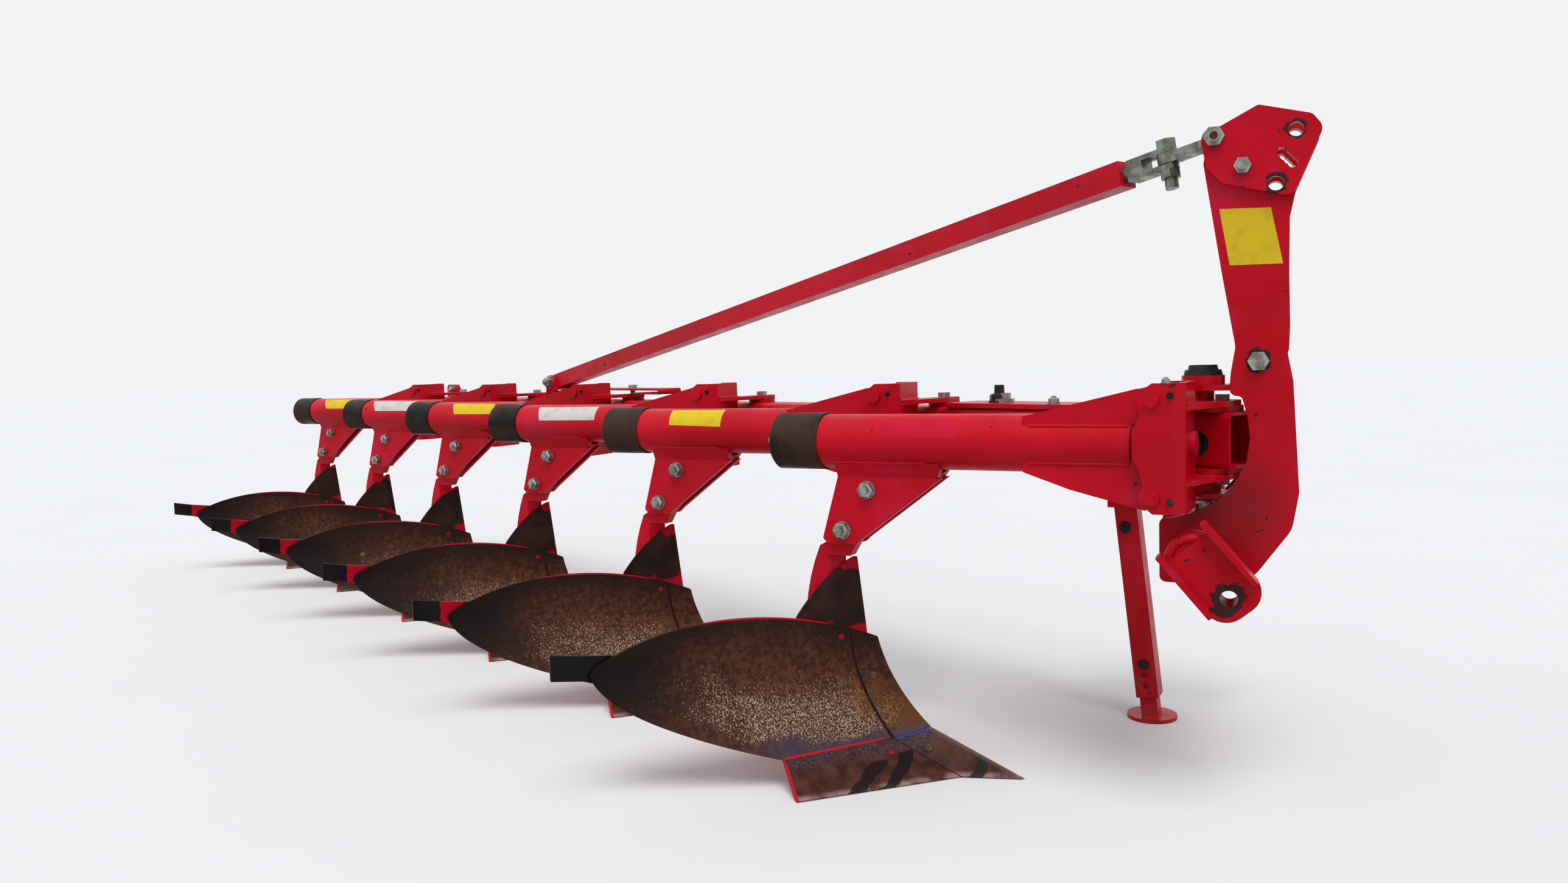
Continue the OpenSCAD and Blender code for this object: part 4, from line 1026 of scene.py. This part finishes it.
# %% [markdown]
# The board's rule gives both the place of a flush bolt and the direction to face, the cross
# product of its two slopes. A flat plate faces one way all over. Each disc is sunk a little, so
# that no gap shows under it.

# %% Place flush bolts on the sheets
SLOPE_STEP, BOARD_SINK = 0.01, 0.0004


def across_of(first, second):
    across = np.cross(first, second)
    return Vector(across / np.linalg.norm(across))


def board_facing(u, w):
    along = board_point(u + SLOPE_STEP, w) - board_point(u - SLOPE_STEP, w)
    rise = board_point(u, w + SLOPE_STEP) - board_point(u, w - SLOPE_STEP)
    way = across_of(rise, along)
    return way if way.dot(Vector(BACK)) < 0 else -way


def plate_facing(a, b, c):
    way = across_of(b - a, c - a)
    return way if way.x >= 0 else -way


def on_board(k, u, w, size):
    way = board_facing(u, w)
    return Vector(board_point(u, w) + body_shift(k)) - way * BOARD_SINK, way, size


def on_plate(k, place, way, sink, size):
    return Vector(np.array(place) + body_shift(k)) - way * sink, way, size


wing_way = plate_facing(POINT_WING, JOINT_LOW, WING_LOW)
point_way = plate_facing(POINT_TIP, SHIN_LOW, POINT_WING)
print("the wing faces", [round(c, 3) for c in wing_way])

# %% [markdown]
# Each leg is clamped by two bolts with nuts and washers, the tube's rear end shows the hexagon of
# the spring's rod, and flush bolts hold the board, the shin and the share. One hole in the board
# is open, and two in the wing show red.

# %% Bolts on the bodies
LEG_BOLTS, LEG_FACE, LEG_NUT = ((-9, -116), (-78, -218)), 31, 0.0365
SLEEVE_END, ROD_NUT = -262, 0.038
BOARD_BOLTS = ((0.058, 0.56), (0.165, 0.475), (0.082, 0.085), (0.214, 0.356), (0.56, 0.525))
BOARD_BOLT, POINT_BOLT, WING_HOLE, OPEN_HOLE = 0.019, 0.021, 0.011, 0.014
POINT_BOLTS = ((0.120, 0.0065, 0.0573),)
WING_BOLTS = ((-0.010, -0.112, 0.0491), (0.0456, -0.0508, 0.0502))
flush_steel = dark_finish("flush_bolt_steel", rgb(0.042, 0.020, 0.012),
                          rgb(0.150, 0.095, 0.055), 0.9, 0.5, dusty=0.0)
seat_red, shader, place = finish("seat_red", roughness=0.5)
shader.inputs["Base Color"].default_value = rgb(0.55, 0.006, 0.018)

for k in BODIES:
    body = f"body_{k}"
    nuts = [(on_body(k, x, side * LEG_FACE, z), Vector((0, side, 0)), LEG_NUT)
            for x, z in LEG_BOLTS for side in (-1, 1)]
    set_nuts(f"leg_nuts_{k}", nuts, 0.605, 0.40, 0.16, zinc, body)
    rod_end = [(on_body(k, SLEEVE_END, 0, 0), Vector((-1, 0, 0)), ROD_NUT)]
    set_nuts(f"rod_nut_{k}", rod_end, 0.72, 0.34, 0.30, zinc, body)
    flush = [on_board(k, u, w, BOARD_BOLT) for u, w in BOARD_BOLTS]
    flush += [on_plate(k, p, point_way, 0.0006, POINT_BOLT) for p in POINT_BOLTS]
    set_discs(f"flush_bolts_{k}", flush, 0.07, flush_steel, body)
    hole = [on_board(k, 0.132, 0.898, OPEN_HOLE)]
    set_discs(f"open_hole_{k}", hole, 0.06, seat_red, body)
    spots = [on_plate(k, p, wing_way, 0.0010, WING_HOLE) for p in WING_BOLTS]
    set_discs(f"share_spots_{k}", spots, 0.42, seat_red, body)

# %% [markdown]
# The frame has its own: at the stay's foot, the lug behind the last bracket, the front plates,
# the hub, each bracket and the stand.

# %% Bolts on the frame
BEAM_LEFT = (BEAM_TURN @ Vector((0, 1, 0))).normalized()
HEAD_LEFT = HEAD_TURN @ Vector((0, 1, 0))
EAR_FACE, FOOT_ALONG, FOOT_UP = 42.3, 3166, 136
LUG_ALONG, LUG_FACE, LUG_UP = 4343, 7, 97
NOSE_BOLT, LOCK_BOLT, SIDE_BOLT = (430, 45, 74), (645, 0, 74), (24, 62.3, -8)
BRACKET_SCREW, STAND_BOLT = (700, -76, 132.8), (469, 606, -280)
SCREW_FACE, GRUB_SCREWS = -84, ((710, 107), (709, -116))
STAY_PIN, CASTLE_NUT, CASTLE_FLANGE = (-17, -(64 + 0.9 * 24), 654), -139.6, -130.9

set_discs("stay_pin_end", [(on_head(*STAY_PIN), -HEAD_LEFT, 0.018)], 0.08, flush_steel, "frame")
frame_nuts = [(on_beam(FOOT_ALONG, side * EAR_FACE, FOOT_UP), BEAM_LEFT * side, 0.040)
              for side in (-1, 1)]
frame_nuts += [(on_beam(LUG_ALONG, side * LUG_FACE, LUG_UP), BEAM_LEFT * side, 0.030)
               for side in (-1, 1)]
frame_nuts += [(on_beam(*NOSE_BOLT), UP, 0.024), (on_body(1, *BRACKET_SCREW), UP, 0.015)]
set_nuts("frame_nuts", frame_nuts, 0.70, 0.46, 0.22, zinc, "frame")
castle = [(on_head(HUB.x, HUB.y, CASTLE_NUT), DOWN, 0.0556)]
set_nuts("castle_nut", castle, 0.66, 0.44, 0.05, zinc, "frame")
flange = [(on_head(HUB.x, HUB.y, CASTLE_FLANGE), DOWN, 0.0712)]
set_discs("castle_flange", flange, 0.125, zinc, "frame")
dark_nuts = [(on_beam(*LOCK_BOLT), UP, 0.047), (on_body(1, *STAND_BOLT), RIGHT, 0.026)]
dark_nuts += [(on_body(k, x, SCREW_FACE, z), RIGHT, 0.012) for k in BODIES for x, z in GRUB_SCREWS]
set_nuts("dark_nuts", dark_nuts, 0.62, 0.30, 0.50, black, "frame")
side_bolt = [(on_beam(*SIDE_BOLT), -BEAM_LEFT, 0.046)]
set_nuts("beam_side_bolt", side_bolt, 0.60, 0.10, 0.02, black, "frame")
print("nuts and screws on the frame:", len(frame_nuts) + len(dark_nuts) + 2)

# %% [markdown]
# ## Weld beads
# A bead is a thin round cord along a seam, rippled the way a torch leaves it. The group samples a
# line every few millimetres, wraps a circle round it, and pushes the skin in and out with noise.

# %% The weld bead group
weld_group, knobs, result = geometry_group("weld_bead", [
    ("Radius", "Float", 0.004), ("Spacing", "Float", 0.003), ("Ripple", "Float", 0.0020),
    ("Finish", "Material", None)])
line = out(weld_group, "GeometryNodeMeshToCurve", {"Mesh": knobs["Geometry"]})
even = out(weld_group, "GeometryNodeResampleCurve", {"Curve": line, "Length": knobs["Spacing"]},
           mode="LENGTH")
rim = out(weld_group, "GeometryNodeCurvePrimitiveCircle", {
    "Resolution": 8, "Radius": knobs["Radius"]})
cord = out(weld_group, "GeometryNodeCurveToMesh", {
    "Curve": even, "Profile Curve": rim, "Fill Caps": True})
noise = out(weld_group, "ShaderNodeTexNoise", {"Scale": 240.0, "Detail": 1.0})
amount = times(calc("SUBTRACT", noise, 0.45), knobs["Ripple"])
outward = out(weld_group, "GeometryNodeInputNormal")
push = out(weld_group, "ShaderNodeVectorMath", {0: outward, "Scale": amount}, operation="SCALE")
moved = out(weld_group, "GeometryNodeSetPosition", {"Geometry": cord, "Offset": push})
finished = out(weld_group, "GeometryNodeSetMaterial", {
    "Geometry": moved, "Material": knobs["Finish"]})
weld_group.links.new(finished, result[0])
print("bead group:", len(weld_group.nodes), "nodes")

# %% [markdown]
# Beads run along the fins of each tube, beside the leg, across the brackets and round the cross
# shaft. The hitch arm's collar is the same cord, only thicker.

# %% Lay the welds
FIN_SIDE, FIN_LEVEL, FIN_ENDS = 52, 41.5, (400, 618)
LEG_SIDE, LEG_LEVEL, LEG_ENDS = 46, -48, (-86, 150)
BRACKET_X, BRACKET_ENDS, BRACKET_LEVELS = 737, (-58, 60), (74, 87)
FOOT_ENDS, FOOT_SIDES, FOOT_LEVEL = (3122, 3218), (29, 43), 62
SHAFT_RING, RING_STEPS, CHEEK_Y, COLLAR_Y = 0.046, 40, -64.5, -170


def line_mesh(name, lines):
    mesh = bpy.data.meshes.new(name)
    points, edges = [], []
    for line_points in lines:
        start = len(points)
        points += [tuple(p) for p in line_points]
        edges += [(start + i, start + i + 1) for i in range(len(line_points) - 1)]
    mesh.from_pydata(points, edges, [])
    return mesh


def ring_points(centre, first, second, radius):
    angles = [math.radians(360.0 * i / RING_STEPS) for i in range(RING_STEPS + 1)]
    return [centre + (first * math.cos(a) + second * math.sin(a)) * radius for a in angles]


for k in BODIES:
    seams = [[on_body(k, x, side * FIN_SIDE, level * FIN_LEVEL) for x in FIN_ENDS]
             for side in (-1, 1) for level in (-1, 1)]
    seams += [[on_body(k, x, side * LEG_SIDE, LEG_LEVEL) for x in LEG_ENDS] for side in (-1, 1)]
    grow(f"body_welds_{k}", line_mesh("body_welds", seams), weld_group,
         {"Radius": 0.0042, "Finish": paint}, f"body_{k}")

HEAD_AHEAD = HEAD_TURN @ Vector((1, 0, 0))
frame_seams = [[on_body(k, BRACKET_X, y, side * z) for y in BRACKET_ENDS]
               for k in BODIES for side in (-1, 1) for z in BRACKET_LEVELS]
frame_seams.append(ring_points(on_head(SHAFT[0], CHEEK_Y, SHAFT[1]), HEAD_AHEAD, UP, SHAFT_RING))
frame_seams += [[on_beam(along, side * across, FOOT_LEVEL) for along in FOOT_ENDS]
                for side in (-1, 1) for across in FOOT_SIDES]
grow("frame_welds", line_mesh("frame_welds", frame_seams), weld_group,
     {"Radius": 0.0045, "Finish": paint}, "frame")
collar = ring_points(on_head(SHAFT[0], COLLAR_Y, SHAFT[1]), HEAD_AHEAD, UP, SHAFT_RING)
grow("hitch_collar", line_mesh("hitch_collar", [collar]), weld_group,
     {"Radius": 0.011, "Ripple": 0.003, "Finish": arm_paint}, "frame")

# %% [markdown]
# ## Blank labels
# Each tube carries a plain label wrapped round its upper side: three yellow, two white, and the
# first faded into the paint. The mast carries a yellow one. They are thin shells a fraction of a
# millimetre over the paint.

# %% Labels
# a tube label's corners: x in millimetres and degrees round the tube
TUBE_CORNERS = {1: ((35, 61), (223, 61), (234, 12), (48, 12)),
                2: ((-20, 70), (166, 71), (170, 14), (-10, 18)),
                3: ((-40, 63), (229, 64), (230, 13), (-15, 12)),
                4: ((-13, 68), (220, 62), (246, 17), (22, 17)),
                5: ((-81, 71), (208, 66), (244, 15), (-37, 16)),
                6: ((-47, 72), (198, 67), (240, 13), (2, 14))}
LABEL_FRONT, LABEL_BACK, LABEL_COLUMNS, LABEL_ROWS = 66.9, 66.55, 6, 10
MAST_CORNERS, MAST_LABEL_Y = ((-7, 502), (96, 498), (120, 378), (14, 380)), (-48.6, -48.2)


def label_finish(name, colour):
    material, shader, place = finish(name, roughness=0.42)
    tone = cloudy(place, 26.0, 0.45, 0.80)
    dirty = rgb(colour[0] * 0.72, colour[1] * 0.66, colour[2] * 0.62)
    shade = mix(times(tone, 0.7), colour, dirty)
    wire(shade, shader, "Base Color")
    return material


def tube_label_grid(k, corners, radius):
    (ax, aa), (bx, ba), (cx, ca), (dx, da) = corners
    grid = []
    for i in range(LABEL_COLUMNS + 1):
        u = i / LABEL_COLUMNS
        ring = []
        for j in range(LABEL_ROWS + 1):
            w = j / LABEL_ROWS
            x = (dx + (cx - dx) * u) * (1 - w) + (ax + (bx - ax) * u) * w
            turn = math.radians((da + (ca - da) * u) * (1 - w) + (aa + (ba - aa) * u) * w)
            y, z = -radius * math.cos(turn), radius * math.sin(turn)
            ring.append(np.array(on_body(k, x, y, z)))
        grid.append(ring)
    return grid


def add_label(name, front, back, material, body):
    uv = [[(0.0, 0.0)] * len(ring) for ring in front]
    label = thick_sheet(name, front, back, uv, [material, material], bevel=0.0)
    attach(label, body)


yellow = label_finish("yellow_label", rgb(0.74, 0.53, 0.022))
white = label_finish("white_label", rgb(0.66, 0.62, 0.58))
faded_red = label_finish("faded_label", rgb(0.58, 0.0075, 0.038))
LABEL_COLOURS = {1: faded_red, 2: yellow, 3: white, 4: yellow, 5: white, 6: yellow}
for k, corners in TUBE_CORNERS.items():
    add_label(f"tube_label_{k}", tube_label_grid(k, corners, LABEL_FRONT),
              tube_label_grid(k, corners, LABEL_BACK), LABEL_COLOURS[k], f"body_{k}")
mast_a, mast_b, mast_c, mast_d = MAST_CORNERS
mast_front, mast_back = ([[np.array(on_head(x, y, z)) for x, z in side]
                          for side in ((mast_d, mast_a), (mast_c, mast_b))] for y in MAST_LABEL_Y)
add_label("mast_label", mast_front, mast_back, yellow, "frame")
print("labels:", len(TUBE_CORNERS) + 1)
